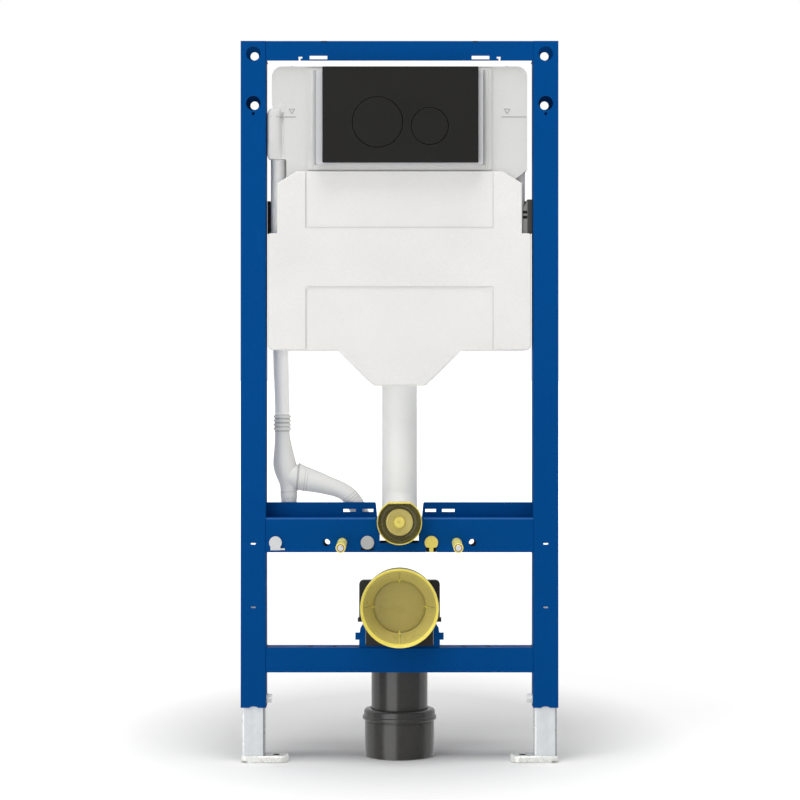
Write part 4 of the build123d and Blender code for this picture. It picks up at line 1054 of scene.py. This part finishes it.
# ---------------------------------------------------------------- legs: painted highlight strip on the front left edge, painted shade on the front right edge and the inner face
for side, tag in ((-1, "left"), (1, "right")):
    cx, cy = side * 230.0 - 14.5, -34.5
    b = Build()
    outer = [(cx + 3.1 * math.cos(math.radians(a)), cy + 3.1 * math.sin(math.radians(a))) for a in range(180, 271, 9)]
    inner = [(cx + 2.8 * math.cos(math.radians(a)), cy + 2.8 * math.sin(math.radians(a))) for a in range(270, 179, -9)]
    b.plate(outer + inner, 11.0, 329.0, 0.0, plane="xy")
    b.done(tag + "_leg_edge_highlight", M_LEG_EDGE_HIGHLIGHT, "galvanised_steel", body=tag + "_leg_body")
    b = Build()
    cx = side * 230.0 + 14.5
    outer = [(cx + 3.1 * math.cos(math.radians(a)), cy + 3.1 * math.sin(math.radians(a))) for a in range(279, 361, 9)]
    inner = [(cx + 2.8 * math.cos(math.radians(a)), cy + 2.8 * math.sin(math.radians(a))) for a in range(360, 278, -9)]
    b.plate(outer + inner, 11.0, 329.0, 0.0, plane="xy")
    xa, xb = side * 212.4, side * 212.7
    b.plate([(-34.3, 11.0), (-5.7, 11.0), (-5.7, 329.0), (-34.3, 329.0)], xa, xb, 0.0, plane="yh")
    b.done(tag + "_leg_inner_face_shade", M_LEG_SIDE_SHADE, "galvanised_steel", body=tag + "_leg_body")

# ---------------------------------------------------------------- right clip's hook; painted shade in its slots and on the side of the tank behind the cover
b = Build()
b.plate(rounded(200.9, 209.6, 834.2, 886.9, 1.0, 4), -36.2, -12.0, 0.7)
b.done("right_clip_hook", M_CLIP, "black_plastic")
b = Build()
b.plate([(193.9, 872.0), (201.6, 886.0), (201.6, 833.4), (196.8, 833.4), (194.7, 834.8), (193.9, 838.0)], -37.0, -24.0, 1.0)
b.done("right_clip_latch", M_LATCH, "black_plastic")
# dark plates in the clip's slots and beside its hook: painted shade
b = Build()
for hh in (856.6, 864.6):
    b.plate(rounded(193.9, 201.0, hh, hh + 4.4, 1.0, 3), -37.4, -36.0, 0.2)
b.plate(rounded(207.4, 210.2, 834.6, 886.0, 0.8, 3), -36.0, -33.2, 0.3)
b.done("right_clip_slot_shade", M_PAINTED_SHADE, "black_plastic")
# the tank's side below the cover in a darker copy of the tank plastic: painted shade
b = Build()
b.plate(rounded(184.0, 197.8, 836.0, 934.0, 5.0, 5), -27.0, 20.0, 4.0)
b.done("tank_flank", M_TANK_FLANK_SHADE, "grey_tank_plastic")

# ---------------------------------------------------------------- lower rail: near-black discs on top, painted shade in its small holes; weld seams at the posts
b = Build()
for x in (-140.8, -102.9, 102.5, 140.5):
    b.lathe([(0.0, 0.0), (3.4, 0.0), (3.7, 0.15), (3.7, 0.35), (3.4, 0.45), (2.9, 0.3), (0.0, 0.2)], (x, -21.0, 181.4), axis=(0, 0, 1), seg=32)
b.done("lower_rail_hole_shade", M_PAINTED_SHADE, "black_plastic")
rng = random.Random(7)
b = Build()
for side in (-1, 1):
    for hh in (142.1, 181.9, 331.3, 1104.6):
        path, rad = [], []
        for k in range(15):
            path.append((side * 209.9, -36.5 + 33.0 * k / 14.0, hh))
            rad.append(1.0 + 0.28 * rng.random() + (0.15 if k % 2 else 0.0) - (0.5 if k in (0, 14) else 0.0))
        b.tube(path, rad, 14)
b.done("weld_seams", M_BLUE, "blue_powder_coat")

# ---------------------------------------------------------------- conduit: seams and coupling grooves at the branch; darker rings in the bellows grooves are painted shade
def smooth_path(keys, steps=6):
    """keys: (x, y, h, r); a smooth curve through them all."""
    out = []
    n = len(keys)
    for i in range(n - 1):
        k0, k1, k2, k3 = keys[max(i - 1, 0)], keys[i], keys[i + 1], keys[min(i + 2, n - 1)]
        for j in range(steps):
            t = j / steps
            out.append(tuple(0.5 * (2 * b1 + (c1 - a1) * t + (2 * a1 - 5 * b1 + 4 * c1 - d1) * t * t + (3 * b1 - a1 - 3 * c1 + d1) * t ** 3)
                             for a1, b1, c1, d1 in zip(k0, k1, k2, k3)))
    out.append(tuple(keys[-1]))
    return out


b = Build()
keys = [(-163.5, 16.5, 448.2, 21.5), (-161.7, 16.5, 447.7, 21.3), (-151.7, 16.5, 444.9, 19.8), (-140.5, 16.5, 442.0, 18.4), (-129.3, 16.5, 438.9, 16.9),
        (-116.6, 16.5, 434.8, 15.2), (-103.0, 16.5, 430.4, 13.8), (-94.3, 16.5, 427.0, 13.4), (-85.5, 16.5, 421.9, 13.4), (-77.5, 16.5, 414.6, 13.5),
        (-71.4, 16.5, 406.4, 13.6), (-66.3, 16.5, 397.3, 13.6), (-58.5, 16.5, 380.0, 13.6), (-52.4, 16.5, 361.0, 13.6), (-50.4, 16.5, 345.0, 13.6),
        (-50.4, 16.5, 337.0, 13.6)]
sm = smooth_path(keys)
b.tube([q[:3] for q in sm], [q[3] for q in sm], 48)
b.lathe([(0.0, 0.0), (7.7, 0.0), (7.7, 53.6), (7.3, 54.0), (0.0, 54.0)], (-50.4, 14.0, 347.0), seg=40)
b.done("conduit_branch_pipe", M_TEE, "light_pipe_plastic", stands_for=("conduit_branch",))
b = Build()


def band(cx, ch, r, dx, dh, tube=0.55, cy=16.5):
    b.lathe([(r - 0.3, -tube), (r + 0.35, -tube * 0.6), (r + 0.35, tube * 0.6), (r - 0.3, tube)], (cx, cy, ch), axis=(dx, 0, dh), seg=72, closed=True)


# darker rings in the bellows grooves: painted shade
for hh in (540.7, 534.2, 527.7, 521.2):
    b.lathe([(11.8, -0.8), (12.25, -0.6), (12.25, 0.6), (11.8, 0.8)], (-187.0, 16.5, hh), axis=(0, 0, 1), seg=48, closed=True)
b.lathe([(20.6, -1.6), (22.2, -1.3), (22.5, 0.0), (22.2, 1.3), (20.6, 1.6)], (-161.6, 16.5, 447.6), axis=(1, 0, -0.1), seg=96, closed=True)
band(-150.6, 444.6, 19.75, 1.0, -0.12, 0.4)
band(-146.6, 443.6, 19.05, 1.0, -0.12, 0.4)
for k, (cx, ch) in enumerate(((-80.3, 417.6), (-77.2, 413.9), (-74.4, 410.3))):
    band(cx, ch, 13.55, 0.62, -0.78, 0.45)
band(-176.8, 424.5, 13.3, 0.05, -1.0, 0.5)
b.done("conduit_seams_and_groove_shade", M_SEAM_AND_GROOVE_SHADE, "light_pipe_plastic")
